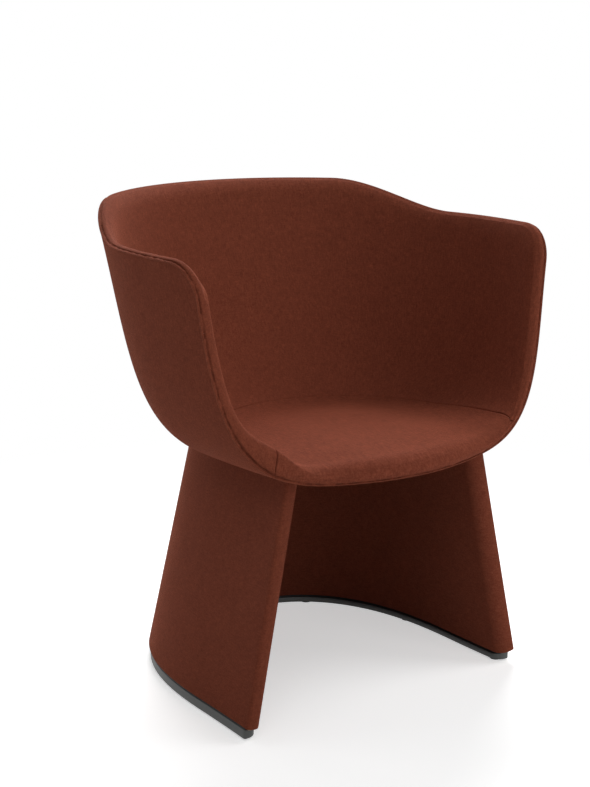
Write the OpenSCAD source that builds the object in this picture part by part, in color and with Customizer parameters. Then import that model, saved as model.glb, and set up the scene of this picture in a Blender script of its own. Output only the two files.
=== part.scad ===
// Upholstered bucket chair on a flared, wrap-round base that is open at the front.
// The chair stands on z = 0 and its front faces minus y.

/* [Bucket] */
// Half of the width over the arms, at the height of the back top
half_width = 353; // [300:1:400]
// From the middle of the back curve to the back, at the back top
back_reach = 390; // [330:1:430]
// From the middle of the back curve to the front edge of the arms
arm_front = 134; // [110:1:180]
// How far the seat front stands forward of the arm fronts
front_bulge = 91; // [60:1:110]
// How late that bulge begins, from the arm down to the seat front
bulge_power = 3.15; // [2:0.05:4]
// How much narrower each side is at the underside
side_draw_in = 45; // [10:1:80]
// How much further forward the back is at the underside
back_draw_in = 151; // [60:1:170]
// How much each arm front turns inwards
arm_toe_in = 11; // [0:1:20]
// Squareness of the section through the bucket
section_square = 5.25; // [3:0.05:7]
// How much each side flares at the rim, beyond its straight slope
side_flare = 2.7; // [0:0.1:6]
// How much the back flares at the rim, beyond its straight slope
back_flare = 5.8; // [0:0.1:8]
// Height of the underside of the bucket
underside = 386; // [350:1:420]
// Height of the arm tops
arm_top = 721; // [660:1:740]
// How far the back top stands above the arm tops
back_rise = 46; // [30:1:110]
// Turn round the back curve where the rim starts to rise from the arm
step_start = 16; // [5:0.5:25]
// Turn round the back curve where the rim reaches the back top
step_end = 50.5; // [40:0.5:70]
// Radius of the corner where the arm front meets the arm top
corner_radius = 55; // [35:1:70]

/* [Upholstery] */
// Thickness of the woven cover
cover = 1.5; // [1:0.1:2.5]
// Thickness of the fleece under the outside cover
fleece = 2.8; // [2:0.1:5]
// Thickness of the moulded shell
shell_wall = 8; // [6:0.5:12]
// Thickness of the foam in front of the shell, on the back and arms
foam = 9; // [6:0.5:16]
// Extra thickness of the foam in the middle of the seat
seat_crown = 14; // [6:0.5:20]
// Depth of the valley along the seam round the seat
seam_dip = 2; // [0:0.1:4]
// Gap between two layers
layer_gap = 0.3; // [0.2:0.05:0.5]
// How far inside the outer face the seam runs along the rim
rim_seam = 5.5; // [5:0.1:7]
// Height of the rounded rim above the edges of the layers
rim_crown = 6; // [4:0.5:9]
// How far the shell and foam stay back from the edge of the covers
edge_setback = 6; // [5:0.5:9]
// Turn from level to the seam round the seat, at the back
seam_turn_back = 54.5; // [50:0.5:62]
// Turn from level to the seam round the seat, at the arm fronts
seam_turn_front = 49; // [42:0.5:55]

/* [Base] */
// Half of the width of the base at its bottom edge
base_half_low = 266.5; // [230:0.5:300]
// Half of the width of the base at the reference height
base_half_high = 182; // [160:1:200]
// From the middle of the base curve to the back, at the bottom edge
base_back_low = 357; // [320:1:390]
// From the middle of the base curve to the back, at the reference height
base_back_high = 282; // [260:1:300]
// From the middle of the base curve to the front ends, at the bottom edge
base_front_low = 130.5; // [110:0.5:150]
// From the middle of the base curve to the front ends, at the reference height
base_front_high = 121; // [105:1:140]
// How far the front ends of the base stand out beyond straight sides
base_splay = 2; // [0:0.5:8]
// Squareness of the curve of the base in plan
base_square = 2.45; // [2:0.05:3]
// How far the middle of the base curve lies in front of the middle of the back curve
base_shift = 26; // [10:1:40]
// Height at which the narrow sizes of the base are measured
base_reference = 420; // [400:1:440]
// Height of the bottom edge of the base cover
base_cover_bottom = 23; // [20:0.5:30]
// How far the wall and its fleece end below the bucket
wall_drop = 2; // [1:0.1:4]
// Thickness of the moulded plywood wall
ply = 19.8; // [15:0.1:24]
// Thickness of the fleece on each face of the wall
base_fleece = 3; // [2:0.1:5]
// Radius of the outer upright edge of each front end
base_outer_radius = 6; // [5.5:0.5:8]
// Radius of the inner upright edge of each front end
base_inner_radius = 21; // [12:1:22]

/* [Plinth] */
// Height of the plinth strip
plinth_height = 18.5; // [12:0.5:26]
// How far the plinth stands back from the face of the cover
plinth_inset = 2.5; // [2:0.5:5]
// How far the plinth stands back from the front ends of the cover
plinth_end_inset = 12.5; // [4:0.5:15]
// Diameter of a glide
glide_diameter = 20; // [14:0.5:22]
// Chamfer round the foot of a glide
glide_chamfer = 1; // [0.5:0.1:1.4]
// Thickness of a glide under the plinth
glide_height = 2.5; // [1.5:0.5:4]
// Diameter of the pin of a glide
glide_pin = 4; // [3:0.5:6]
// Length of the pin of a glide
glide_pin_length = 12; // [8:0.5:15]

/* [Fixings] */
// Thickness of the steel seat plate
plate = 5; // [4:0.5:8]
// From the middle of the base curve to the front edge of the seat plate
plate_front = 70; // [40:1:90]
// Width of a tab of the seat plate
tab_width = 40; // [30:1:50]
// Length of a tab of the seat plate
tab_length = 46; // [40:1:60]
// Thickness of a tab of the seat plate
tab = 4; // [3:0.5:6]
// Diameter of a shell bolt
bolt_diameter = 8; // [6:0.5:10]
// Half of the distance between the shell bolts across the seat
bolt_half_spread = 80; // [60:1:90]
// Place of the front bolts, in front of the middle of the back curve
bolt_front = 50; // [30:1:70]
// Place of the rear bolts, behind the middle of the back curve
bolt_back = 70; // [50:1:80]
// Diameter of the threaded insert round a bolt
insert_diameter = 12; // [11:0.5:14]
// Diameter of the flange of an insert
flange_diameter = 26; // [20:0.5:30]
// Diameter of the washer under a bolt head
washer_diameter = 20; // [18:0.5:24]
// Diameter of the shank of a wall screw
wall_screw = 4.5; // [4:0.1:5.5]
// Length of a wall screw from under its head
wall_screw_length = 22; // [18:0.5:24]
// Diameter of the shank of a plinth screw
plinth_screw = 4.5; // [4:0.1:5.5]
// Length of a plinth screw
plinth_screw_length = 40; // [30:1:60]
// Thickness of the flange of an insert
flange = 1.6; // [1:0.1:2.5]
// Thickness of a washer
washer = 1.6; // [1:0.1:2.5]
// Height of the head of a shell bolt
bolt_head = 5; // [3:0.5:6]
// Diameter of the head of a shell bolt
bolt_head_diameter = 13.6; // [12:0.2:16]
// Height of the head of a wall screw
wall_screw_head = 2.4; // [1.5:0.1:3]
// Diameter of the head of a wall screw
wall_screw_head_diameter = 9; // [7:0.5:10]
// Height of the head of a plinth screw
plinth_screw_head = 2.5; // [1.5:0.1:3]
// Diameter of the head of a plinth screw
plinth_screw_head_diameter = 8.6; // [7:0.2:10]
// Half of the distance between the two screws of a tab
screw_half_spread = 11; // [8:0.5:14]
// How far the screws of a tab lie below its middle
tab_drop = 8; // [4:0.5:12]
// Gap between a tab and the cover of the wall
tab_gap = 1.2; // [1:0.1:2]
// Depth of the head of a plinth screw above the underside of the plinth
screw_recess = 1; // [0.5:0.1:1.5]
// Clearance round a bolt or screw in its hole
hole_gap = 0.25; // [0.15:0.05:0.4]
// Clearance at the blind end of a hole
end_gap = 0.5; // [0.3:0.1:1]
// Gap between the seat plate and the cover of the wall
plate_gap = 2; // [1:0.1:3]

/* [Hidden] */
fabric_colour = [0.45, 0.21, 0.16];
foam_colour = [0.93, 0.9, 0.8];
fleece_colour = [0.95, 0.95, 0.93];
steel_colour = [0.6, 0.61, 0.63];

// Depths of the layers, from the face of the outside cover inwards
fleece_in = cover + layer_gap;
shell_in = fleece_in + fleece + layer_gap;
foam_in = shell_in + shell_wall + layer_gap;
rim_thick = foam_in + foam + layer_gap + cover;
inner_in = rim_thick - cover;
back_top = arm_top + back_rise;
depth = back_top - underside;

// Rows run from the keel of the bucket to the seam, to a level line below the rim, and to the rim.
seat_rows = 4;
wall_rows = 6;
top_rows = 3;
rows = seat_rows + wall_rows + top_rows;
seat_row_spread = 0.75;
wall_row_spread = 1.25;
level_drop = 0.4 * corner_radius;
corner_steps = 3;
arm_steps = 2;
back_steps = 24;
side_columns = corner_steps + arm_steps;
last = 2 * side_columns + back_steps;
loop_length = 2 * rows + last;

// A column is its turn round the back, its share of the run forward, and its turn in the corner.
function right_columns() = concat(
    [for (k = [0:corner_steps]) [0, 1, 90 * k / corner_steps]],
    [for (k = [1:arm_steps]) [0, 1 - k / arm_steps, 90]]);
function mirrored(list) = [for (k = [len(list) - 1:-1:0]) [180 - list[k][0], list[k][1], list[k][2]]];
columns = concat(right_columns(),
    [for (k = [1:back_steps - 1]) [180 * k / back_steps, 0, 90]],
    mirrored(right_columns()));

function unit(v) = v / norm(v);
function smooth(t) = let(c = max(0, min(1, t))) c * c * (3 - 2 * c);
function section_ray(a) =
    pow(pow(abs(cos(a)), section_square) + pow(abs(sin(a)), section_square), -1 / section_square);
function section_angle(z) =
    let(k = max(0, min(1, (back_top - z) / depth)))
    atan2(k, pow(1 - pow(k, section_square), 1 / section_square));
function toe(forward) = arm_toe_in * pow(forward / arm_front, 2) / half_width;

// Half width and back reach at a share k of the depth below the back top
flare_power = 6;
function half_at(k) = half_width - side_draw_in * k + side_flare * pow(max(0, 1 - k), flare_power);
function reach_at(k) = back_reach - back_draw_in * k + back_flare * pow(max(0, 1 - k), flare_power);

// A point of the outside face: turn round the back, distance forward, and angle in the section.
function skin(turn, forward, a) =
    let(ray = section_ray(a), w = ray * cos(a), k = ray * sin(a))
    [half_at(k) * w * cos(turn) * (1 - toe(forward)), reach_at(k) * w * sin(turn) - forward,
        back_top - depth * k];

nudge = 0.05;
function along(turn, forward, a) =
    turn == 0 ? skin(turn, forward - nudge, a) - skin(turn, forward + nudge, a)
    : turn == 180 ? skin(turn, forward + nudge, a) - skin(turn, forward - nudge, a)
    : skin(turn + nudge, forward, a) - skin(turn - nudge, forward, a);
function inward(turn, forward, a) =
    a > 89.9 ? [0, 0, 1]
    : unit(cross(along(turn, forward, a), skin(turn, forward, a + nudge) - skin(turn, forward, a - nudge)));

function front_reach(a) = arm_front + front_bulge * pow(sin(a), bulge_power);
function forward_at(column, a, inset) =
    column[1] == 1 ? front_reach(a) - corner_radius + (corner_radius - inset) * cos(column[2])
    : (front_reach(a) - corner_radius) * column[1];
function side_turn(turn) = turn > 90 ? 180 - turn : turn;
function rim_height(column, inset) =
    arm_top + (back_top - arm_top) * smooth((side_turn(column[0]) - step_start) / (step_end - step_start))
    - inset - (corner_radius - inset) * (1 - sin(column[2]));
// The seam leaves its level a little before the arms and climbs towards their fronts.
seam_lead = 0.3;
seam_lead_turn = 40;
seam_climb = 1.4;
function seam_share(column) =
    column[1] > 0 ? seam_lead + (1 - seam_lead) * column[1]
    : seam_lead * max(0, 1 - side_turn(column[0]) / seam_lead_turn);
function seam_angle(column) =
    seam_turn_back + (seam_turn_front - seam_turn_back) * pow(seam_share(column), seam_climb);

// Angle in the section of row j: side is 1 for the seat, -1 for the back and 0 for both in one.
seam_half_gap = 0.03;
function level_angle() = section_angle(arm_top - corner_radius - level_drop);
function row_angle(i, j, inset, side) =
    let(column = columns[i], seam = seam_angle(column) + side * seam_half_gap)
    j <= seat_rows ? 90 + (seam - 90) * pow(j / seat_rows, seat_row_spread)
    : j <= rows - top_rows ? seam + (level_angle() - seam) * pow((j - seat_rows) / wall_rows, wall_row_spread)
    : let(rim = section_angle(rim_height(column, j == rows ? inset : rim_crown)))
        level_angle() + (rim - level_angle()) * (j - rows + top_rows) / top_rows;

// Extra thickness over the seat, with a valley along the seam
function extra(i, a) =
    let(seam = seam_angle(columns[i]), over = (a - seam) / (90 - seam))
    seat_crown * smooth(1.4 * over) - seam_dip * exp(-pow((a - seam) / 4, 2));

function grid_parameters(i, j, inset, side) =
    let(a = row_angle(i, j, inset, side)) [columns[i][0], forward_at(columns[i], a, inset), a];
function layer_point(i, j, inset, side, deep, follow) =
    let(g = grid_parameters(i, j, inset, side))
    skin(g[0], g[1], g[2]) + inward(g[0], g[1], g[2]) * (deep + follow * extra(i, g[2]));

// The rim loop starts at the keel, climbs the right arm front, and goes round to the left.
function loop_cell(q) =
    let(p = (q + loop_length) % loop_length)
    p < rows ? [0, p] : p <= rows + last ? [p - rows, rows] : [last, loop_length - p];
function loop_skin(q, inset, side) =
    let(c = loop_cell(q), g = grid_parameters(c[0], c[1], inset, side)) skin(g[0], g[1], g[2]);
function rim_point(q, inset, side, knot) =
    let(c = loop_cell(q), g = grid_parameters(c[0], c[1], inset, side),
        inner = inward(g[0], g[1], g[2]), more = extra(c[0], g[2]),
        run = loop_skin(q + 1, inset, side) - loop_skin(q - 1, inset, side),
        outer = unit(cross(run, inner)))
    skin(g[0], g[1], g[2]) + inner * (knot[0] + knot[2] * more)
        + outer * knot[1] * (knot[1] > 0 ? 1 + max(0, more) / rim_thick : 1);

// The crown of the rim: its height over the edges of the layers at a depth. A knot is
// [depth, height, share of the extra thickness], and inset is how far it lies under the surface.
crown_power = 3;
function crown(deep, inset) =
    let(half = rim_thick / 2, across = min(1, abs(deep - half) / (half - inset)))
    (rim_crown - inset) * pow(1 - pow(across, crown_power), 1 / crown_power);
function knots(depths, inset) =
    [for (d = depths) [d, crown(d, inset), smooth((d / rim_thick - 0.25) / 0.7)]];

// The outside cover turns over the rim and ends at the seam, where the inside covers begin.
seam_gap = layer_gap + 0.1;
outer_wrap = concat(
    knots([0.02 * rim_thick, 0.09 * rim_thick, rim_seam], 0),
    knots([rim_seam, 0.1 * rim_thick], cover));
inner_wrap = concat(
    knots([0.91 * rim_thick, 0.83 * rim_thick, 0.6 * rim_thick, rim_seam + seam_gap], cover),
    knots([rim_seam + seam_gap, 0.35 * rim_thick, 0.6 * rim_thick, 0.87 * rim_thick, 0.97 * rim_thick], 0));

function triangle(a, b, c) = a != b && b != c && a != c ? [[a, b, c]] : [];
function triangles(a, b, c, d) = concat(triangle(a, b, c), triangle(a, c, d));
function other_triangles(a, b, c, d) = concat(triangle(a, b, d), triangle(b, c, d));

// One layer of the bucket between two depths, for rows first_row to last_row. Each depth is
// [depth, share of the extra thickness]. knots wrap the rim from the lower depth to the upper:
// each is [depth, height over the edge, share of the extra thickness].
module layer(low, high, inset, knots, first_row, last_row, side) {
    per = last_row - first_row + 1;
    face = (last + 1) * per;
    whole = first_row == 0 && last_row == rows;
    start = whole ? 0 : first_row == 0 ? -last_row : first_row;
    steps = whole ? loop_length : first_row == 0 ? 2 * last_row : loop_length - 2 * first_row;
    wraps = len(knots);
    points = concat(
        [for (i = [0:last], j = [first_row:last_row]) layer_point(i, j, inset, side, low[0], low[1])],
        [for (i = [0:last], j = [first_row:last_row]) layer_point(i, j, inset, side, high[0], high[1])],
        [for (q = [0:steps], k = knots) rim_point(start + q, inset, side, k)]);
    function fold(i, j) = j == 0 ? min(i, last - i, side_columns) : i;
    function at(i, j, top) = top * face + fold(i, j) * per + j - first_row;
    function around(q, m) =
        let(c = loop_cell(start + q), p = whole ? q % steps : q)
        m == 0 ? at(c[0], c[1], 0) : m > wraps ? at(c[0], c[1], 1) : 2 * face + p * wraps + m - 1;
    faces = [
        for (i = [0:last - 1], j = [first_row:last_row - 1]) each i < last / 2
            ? concat(triangles(at(i, j, 0), at(i, j + 1, 0), at(i + 1, j + 1, 0), at(i + 1, j, 0)),
                triangles(at(i, j, 1), at(i + 1, j, 1), at(i + 1, j + 1, 1), at(i, j + 1, 1)))
            : concat(other_triangles(at(i, j, 0), at(i, j + 1, 0), at(i + 1, j + 1, 0), at(i + 1, j, 0)),
                other_triangles(at(i, j, 1), at(i + 1, j, 1), at(i + 1, j + 1, 1), at(i, j + 1, 1))),
        for (q = [0:steps - 1], m = [0:wraps]) each
            triangles(around(q, m), around(q, m + 1), around(q + 1, m + 1), around(q + 1, m)),
        if (!whole && first_row == 0) for (i = [0:last - 1]) each
            triangles(at(i, last_row, 0), at(i, last_row, 1), at(i + 1, last_row, 1),
                at(i + 1, last_row, 0)),
        if (first_row > 0) for (i = [0:last - 1]) each
            triangles(at(i, first_row, 0), at(i + 1, first_row, 0), at(i + 1, first_row, 1),
                at(i, first_row, 1)),
        if (!whole) for (m = [1:wraps]) [around(0, 0), around(0, m + 1), around(0, m)],
        if (!whole) for (m = [1:wraps]) [around(steps, 0), around(steps, m), around(steps, m + 1)]];
    polyhedron(points, faces, convexity = 6);
}

// A bar that follows the whole rim, with a closed profile of knots
module rim_bar(inset, knots) {
    count = len(knots);
    points = [for (q = [0:loop_length - 1], k = knots) rim_point(q, inset, 0, k)];
    function around(q, m) = (q % loop_length) * count + m % count;
    faces = [for (q = [0:loop_length - 1], m = [0:count - 1]) each
        triangles(around(q, m), around(q, m + 1), around(q + 1, m + 1), around(q + 1, m))];
    polyhedron(points, faces, convexity = 6);
}

// The base wall, as a loop of stations round its plan
base_thick = 2 * (cover + layer_gap + base_fleece + layer_gap) + ply;
base_curve_steps = 30;
base_side_steps = 3;
edge_steps = 4;
plinth_top = glide_height + plinth_height;
function mix(low, high, z) =
    low + (high - low) * (z - base_cover_bottom) / (base_reference - base_cover_bottom);
function base_half(z) = mix(base_half_low, base_half_high, z);
function base_back(z) = mix(base_back_low, base_back_high, z);
function base_front(z) = mix(base_front_low, base_front_high, z);
function signed_power(v, p) = sign(v) * pow(abs(v), p);

// A point of the curved part, moved in from the outside face by offset
function base_curve(turn, z, offset) =
    let(x = signed_power(cos(turn), 2 / base_square), y = pow(sin(turn), 2 / base_square),
        square = base_square - 1,
        facing = unit([signed_power(x, square) / base_half(z), pow(y, square) / base_back(z)]))
    [base_half(z) * x - facing[0] * offset, base_back(z) * y - base_shift - facing[1] * offset, z];
least_radius = 0.3;
function end_radius(inner) =
    inner == 0 ? base_outer_radius : min(base_inner_radius, base_thick - base_outer_radius - least_radius);
function end_depth(inner, angle, offset) =
    let(edge = end_radius(inner))
    (inner == 1 ? base_thick - edge : edge) - max(least_radius, edge - offset) * cos(angle);
function base_side(hand, share, inner, z, offset) =
    [hand * (base_half(z) + base_splay * pow(share, 2) - (inner == 1 ? base_thick - offset : offset)),
        -base_shift - (base_front(z) - end_radius(inner)) * share, z];
function base_corner(hand, inner, angle, z, offset) =
    let(edge = end_radius(inner))
    [hand * (base_half(z) + base_splay - end_depth(inner, angle, offset)),
        -base_shift - base_front(z) + edge - max(least_radius, edge - offset) * sin(angle), z];

// Stations run round the outside face, the right end, the inside face and the left end. Each is
// ["curve", turn, 0, inner], ["side", hand, share forward, inner] or ["corner", hand, inner, angle].
stations = concat(
    [for (k = [edge_steps:-1:1]) ["corner", -1, 0, 90 * k / edge_steps]],
    [for (k = [0:base_side_steps - 1]) ["side", -1, 1 - k / base_side_steps, 0]],
    [for (k = [0:base_curve_steps]) ["curve", 180 - 180 * k / base_curve_steps, 0, 0]],
    [for (k = [base_side_steps - 1:-1:0]) ["side", 1, 1 - k / base_side_steps, 0]],
    [for (k = [1:edge_steps]) ["corner", 1, 0, 90 * k / edge_steps]],
    [for (k = [edge_steps:-1:1]) ["corner", 1, 1, 180 - 90 * k / edge_steps]],
    [for (k = [0:base_side_steps - 1]) ["side", 1, 1 - k / base_side_steps, 1]],
    [for (k = [0:base_curve_steps]) ["curve", 180 * k / base_curve_steps, 0, 1]],
    [for (k = [base_side_steps - 1:-1:0]) ["side", -1, 1 - k / base_side_steps, 1]],
    [for (k = [1:edge_steps]) ["corner", -1, 1, 180 - 90 * k / edge_steps]]);
function station_point(station, z, offset) =
    station[0] == "curve" ? base_curve(station[1], z, station[3] == 1 ? base_thick - offset : offset)
    : station[0] == "side" ? base_side(station[1], station[2], station[3], z, offset)
    : base_corner(station[1], station[2], station[3], z, offset);

// True where a point lies inside the outside face of the bucket
function inside_bucket(p) =
    let(k = (back_top - p[2]) / depth)
    k >= 1 ? false
    : let(w = pow(1 - pow(k, section_square), 1 / section_square),
        half = half_at(k) * w)
        p[1] <= 0 ? abs(p[0]) < half * (1 - toe(-p[1]))
        : pow(p[0] / half, 2) + pow(p[1] / (reach_at(k) * w), 2) < 1;
function meeting_height(station, offset, low, high, tries) =
    let(middle = (low + high) / 2)
    tries == 0 ? low
    : inside_bucket(station_point(station, middle, offset))
        ? meeting_height(station, offset, low, middle, tries - 1)
        : meeting_height(station, offset, middle, high, tries - 1);
function wall_top(station, offset, drop) =
    station_point(station, meeting_height(station, offset, underside, (underside + arm_top) / 2, 16) - drop,
        offset);

// The wall leans inwards, and its bottom is cut square to it: the inside face ends lower.
lean = (base_half_low - base_half_high) / (base_reference - base_cover_bottom);
function station_depth(station, offset) =
    station[0] == "corner" ? end_depth(station[2], station[3], offset)
    : station[3] == 1 ? base_thick - offset : offset;
function cut_height(station, bottom, offset) = bottom - lean * station_depth(station, offset);

count = len(stations);
function wall_loop(offset, bottom, drop) = concat(
    [for (s = stations) station_point(s, cut_height(s, bottom, offset), offset)],
    [for (s = stations) wall_top(s, offset, drop)]);

// A sleeve round the wall between two offsets from its faces
module wall_sleeve(offset, thick, bottom, drop) {
    points = concat(wall_loop(offset, bottom, drop), wall_loop(offset + thick, bottom, drop));
    function at(n, top, inner) = inner * 2 * count + top * count + n % count;
    faces = [for (n = [0:count - 1]) each concat(
        triangles(at(n, 0, 0), at(n + 1, 0, 0), at(n + 1, 1, 0), at(n, 1, 0)),
        triangles(at(n, 0, 1), at(n, 1, 1), at(n + 1, 1, 1), at(n + 1, 0, 1)),
        triangles(at(n, 1, 0), at(n + 1, 1, 0), at(n + 1, 1, 1), at(n, 1, 1)),
        triangles(at(n, 0, 0), at(n, 0, 1), at(n + 1, 0, 1), at(n + 1, 0, 0)))];
    polyhedron(points, faces, convexity = 6);
}

// A solid between two loops of stations, the lower one first
module solid_wall(points) {
    function at(n, top) = top * count + n % count;
    faces = concat(
        [for (n = [0:count - 1]) each
            triangles(at(n, 0), at(n + 1, 0), at(n + 1, 1), at(n, 1))],
        [for (n = [0:count / 2 - 2]) each concat(
            triangles(at(n, 1), at(n + 1, 1), at(count - 2 - n, 1), at(count - 1 - n, 1)),
            triangles(at(n, 0), at(count - 1 - n, 0), at(count - 2 - n, 0), at(n + 1, 0)))]);
    polyhedron(points, faces, convexity = 6);
}

// The chair is centred front to back on its own origin.
front_most = min([for (k = inner_wrap) rim_point(0, rim_crown, 1, k)[1]]);
back_most = max([for (k = outer_wrap) rim_point(rows + last / 2, rim_crown, 0, k)[1]]);
chair_middle = (front_most + back_most) / 2;
module place() {
    translate([0, -chair_middle, 0]) children();
}

fixing_facets = 32;
plate_top = underside - layer_gap;
bolt_places = [for (x = [-bolt_half_spread, bolt_half_spread], y = [-bolt_front, bolt_back]) [x, y]];
module at_bolts() {
    for (p = bolt_places) translate([p[0], p[1], 0]) children();
}
// The outside face of the bucket rises a little from its middle to the far edge of a flange.
function bucket_height(x, y, low, high, tries) =
    let(middle = (low + high) / 2)
    tries == 0 ? high
    : inside_bucket([x, y, middle]) ? bucket_height(x, y, low, middle, tries - 1)
        : bucket_height(x, y, middle, high, tries - 1);
function bolt_rise(p) =
    let(reach = flange_diameter / 2)
    bucket_height(abs(p[0]) + reach, abs(p[1]) + reach, underside, arm_top, 16) - underside;
function flange_seat(p) = underside + bolt_rise(p) + shell_in + shell_wall + layer_gap;

// Frames on the inside face of the wall, where the tabs of the seat plate are screwed on
tab_stations = [["side", 1, 0.35, 1], ["curve", 42, 0, 1], ["curve", 90, 0, 1], ["curve", 138, 0, 1],
    ["side", -1, 0.35, 1]];
module at_tabs() {
    for (s = tab_stations) {
        z = plate_top - plate - tab_length / 2;
        p = station_point(s, z, 0);
        up = unit(station_point(s, z + 10, 0) - p);
        across = s[0] == "side" ? [0, s[1], 0]
            : unit(station_point(["curve", s[1] + 1, 0, 1], z, 0)
                - station_point(["curve", s[1] - 1, 0, 1], z, 0));
        out = unit(cross(across, up));
        side = cross(up, out);
        multmatrix([[side[0], up[0], out[0], p[0]], [side[1], up[1], out[1], p[1]],
            [side[2], up[2], out[2], p[2]], [0, 0, 0, 1]]) children();
    }
}
module at_wall_screws() {
    at_tabs() for (x = [-screw_half_spread, screw_half_spread])
        translate([x, -tab_drop, -tab_gap - tab]) children();
}
module wall_screw_holes() {
    at_wall_screws() translate([0, 0, -end_gap])
        cylinder(h = wall_screw_length + 2 * end_gap, d = wall_screw + 2 * hole_gap, $fn = fixing_facets);
}
module bolt_holes() {
    for (p = bolt_places) translate([p[0], p[1], plate_top - plate - 1])
        cylinder(h = flange_seat(p) - plate_top + plate + 2, d = bolt_diameter + 2 * hole_gap,
            $fn = fixing_facets);
}

// Plinth: a strip with upright faces, whose top follows the cut of the wall
function plinth_point(station, z) = let(p = station_point(station, base_cover_bottom, plinth_inset))
    [p[0], p[1] < -base_shift ? -base_shift + (p[1] + base_shift) * plinth_scale : p[1], z];
function plinth_height_at(station) =
    let(reach = station_depth(station, plinth_inset) + lean * (base_cover_bottom - plinth_top))
    plinth_top - layer_gap - lean * reach / (1 - lean * lean);
plinth_scale = (base_front_low - plinth_end_inset) / (base_front_low - plinth_inset);
plinth_middle = base_thick / 2;
glide_stations = [["side", 1, 0.8, 0], ["curve", 16, 0, 0], ["curve", 58, 0, 0], ["curve", 90, 0, 0],
    ["curve", 122, 0, 0], ["curve", 164, 0, 0], ["side", -1, 0.8, 0]];
plinth_screw_stations = [["side", 1, 0.5, 0], ["curve", 34, 0, 0], ["curve", 74, 0, 0],
    ["curve", 106, 0, 0], ["curve", 146, 0, 0], ["side", -1, 0.5, 0]];
module at_stations(list) {
    for (s = list) {
        p = station_point(s, base_cover_bottom, plinth_middle);
        translate([p[0], p[1], 0]) children();
    }
}
module plinth_screw_holes() {
    at_stations(plinth_screw_stations)
        cylinder(h = glide_height + screw_recess + plinth_screw_length + end_gap,
            d = plinth_screw + 2 * hole_gap, $fn = fixing_facets);
}

module seat_shell() {
    color([0.2, 0.2, 0.21]) place() difference() {
        layer([shell_in, 0], [shell_in + shell_wall, 0], rim_crown + edge_setback, [], 0, rows, 0);
        for (p = bolt_places) translate([p[0], p[1], underside - 1])
            cylinder(h = flange_seat(p) - underside + 1, d = insert_diameter + 2 * hole_gap,
                $fn = fixing_facets);
    }
}

module shell_inserts() {
    color(steel_colour) place() for (p = bolt_places) translate([p[0], p[1], 0]) difference() {
        union() {
            translate([0, 0, underside + bolt_rise(p) + shell_in])
                cylinder(h = shell_wall + layer_gap, d = insert_diameter, $fn = fixing_facets);
            translate([0, 0, flange_seat(p)]) cylinder(h = flange, d = flange_diameter, $fn = fixing_facets);
        }
        translate([0, 0, underside])
            cylinder(h = 2 * rim_thick, d = bolt_diameter + 2 * hole_gap, $fn = fixing_facets);
    }
}

module outer_fleece() {
    color(fleece_colour) place() difference() {
        layer([fleece_in, 0], [fleece_in + fleece, 0], rim_crown, [], 0, rows, 0);
        bolt_holes();
    }
}

module seat_foam() {
    color(foam_colour) place() difference() {
        layer([foam_in, 0], [foam_in + foam, 1], rim_crown + edge_setback, [], 0, seat_rows, 1);
        for (p = bolt_places) translate([p[0], p[1], underside])
            cylinder(h = flange_seat(p) - underside + flange + layer_gap, d = flange_diameter + 2 * hole_gap,
                $fn = fixing_facets);
    }
}

module back_foam() {
    color(foam_colour) place()
        layer([foam_in, 0], [foam_in + foam, 1], rim_crown + edge_setback, [], seat_rows, rows, -1);
}

module rim_roll() {
    under = cover + 2 * layer_gap;
    low = shell_in + layer_gap;
    foot = -0.6 * edge_setback;
    color(foam_colour) place() rim_bar(rim_crown, concat([[low, foot, 0]],
        knots([low, 0.35 * rim_thick, 0.6 * rim_thick, 0.8 * rim_thick, 0.88 * rim_thick], under),
        [[rim_thick - under, foot, 1]]));
}

module outer_cover() {
    color(fabric_colour) place() difference() {
        layer([0, 0], [cover, 0], rim_crown, outer_wrap, 0, rows, 0);
        bolt_holes();
    }
}

module back_cover() {
    color(fabric_colour) place()
        layer([inner_in, 1], [rim_thick, 1], rim_crown, inner_wrap, seat_rows, rows, -1);
}

module seat_cover() {
    color(fabric_colour) place()
        layer([inner_in, 1], [rim_thick, 1], rim_crown, inner_wrap, 0, seat_rows, 1);
}

module base_wall() {
    color([0.8, 0.66, 0.47]) place() difference() {
        solid_wall(wall_loop(cover + base_fleece + 2 * layer_gap, plinth_top, wall_drop));
        wall_screw_holes();
        plinth_screw_holes();
    }
}

module base_fleece_sleeve() {
    color(fleece_colour) place() difference() {
        wall_sleeve(cover + layer_gap, base_fleece, base_cover_bottom + 3 * layer_gap, wall_drop);
        wall_screw_holes();
    }
}

module base_cover() {
    color(fabric_colour) place() difference() {
        wall_sleeve(0, cover, base_cover_bottom, layer_gap);
        wall_screw_holes();
    }
}

module seat_plate() {
    color([0.25, 0.25, 0.26]) place() difference() {
        union() {
            translate([0, 0, plate_top - plate]) linear_extrude(plate) polygon(concat(
                [for (k = [0:base_curve_steps])
                    let(p = base_curve(180 * k / base_curve_steps, plate_top, base_thick + plate_gap))
                    [p[0], p[1]]],
                [[-base_half(plate_top) + base_thick + plate_gap, -base_shift - plate_front],
                    [base_half(plate_top) - base_thick - plate_gap, -base_shift - plate_front]]));
            at_tabs() translate([-tab_width / 2, -tab_length / 2, -tab_gap - tab])
                cube([tab_width, tab_length + plate / 2, tab]);
        }
        bolt_holes();
        wall_screw_holes();
    }
}

module shell_bolts() {
    head_z = plate_top - plate - washer - bolt_head;
    color(steel_colour) place() for (p = bolt_places) translate([p[0], p[1], head_z]) {
        cylinder(h = bolt_head, d = bolt_head_diameter, $fn = fixing_facets);
        cylinder(h = flange_seat(p) - head_z, d = bolt_diameter, $fn = fixing_facets);
    }
}

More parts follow.
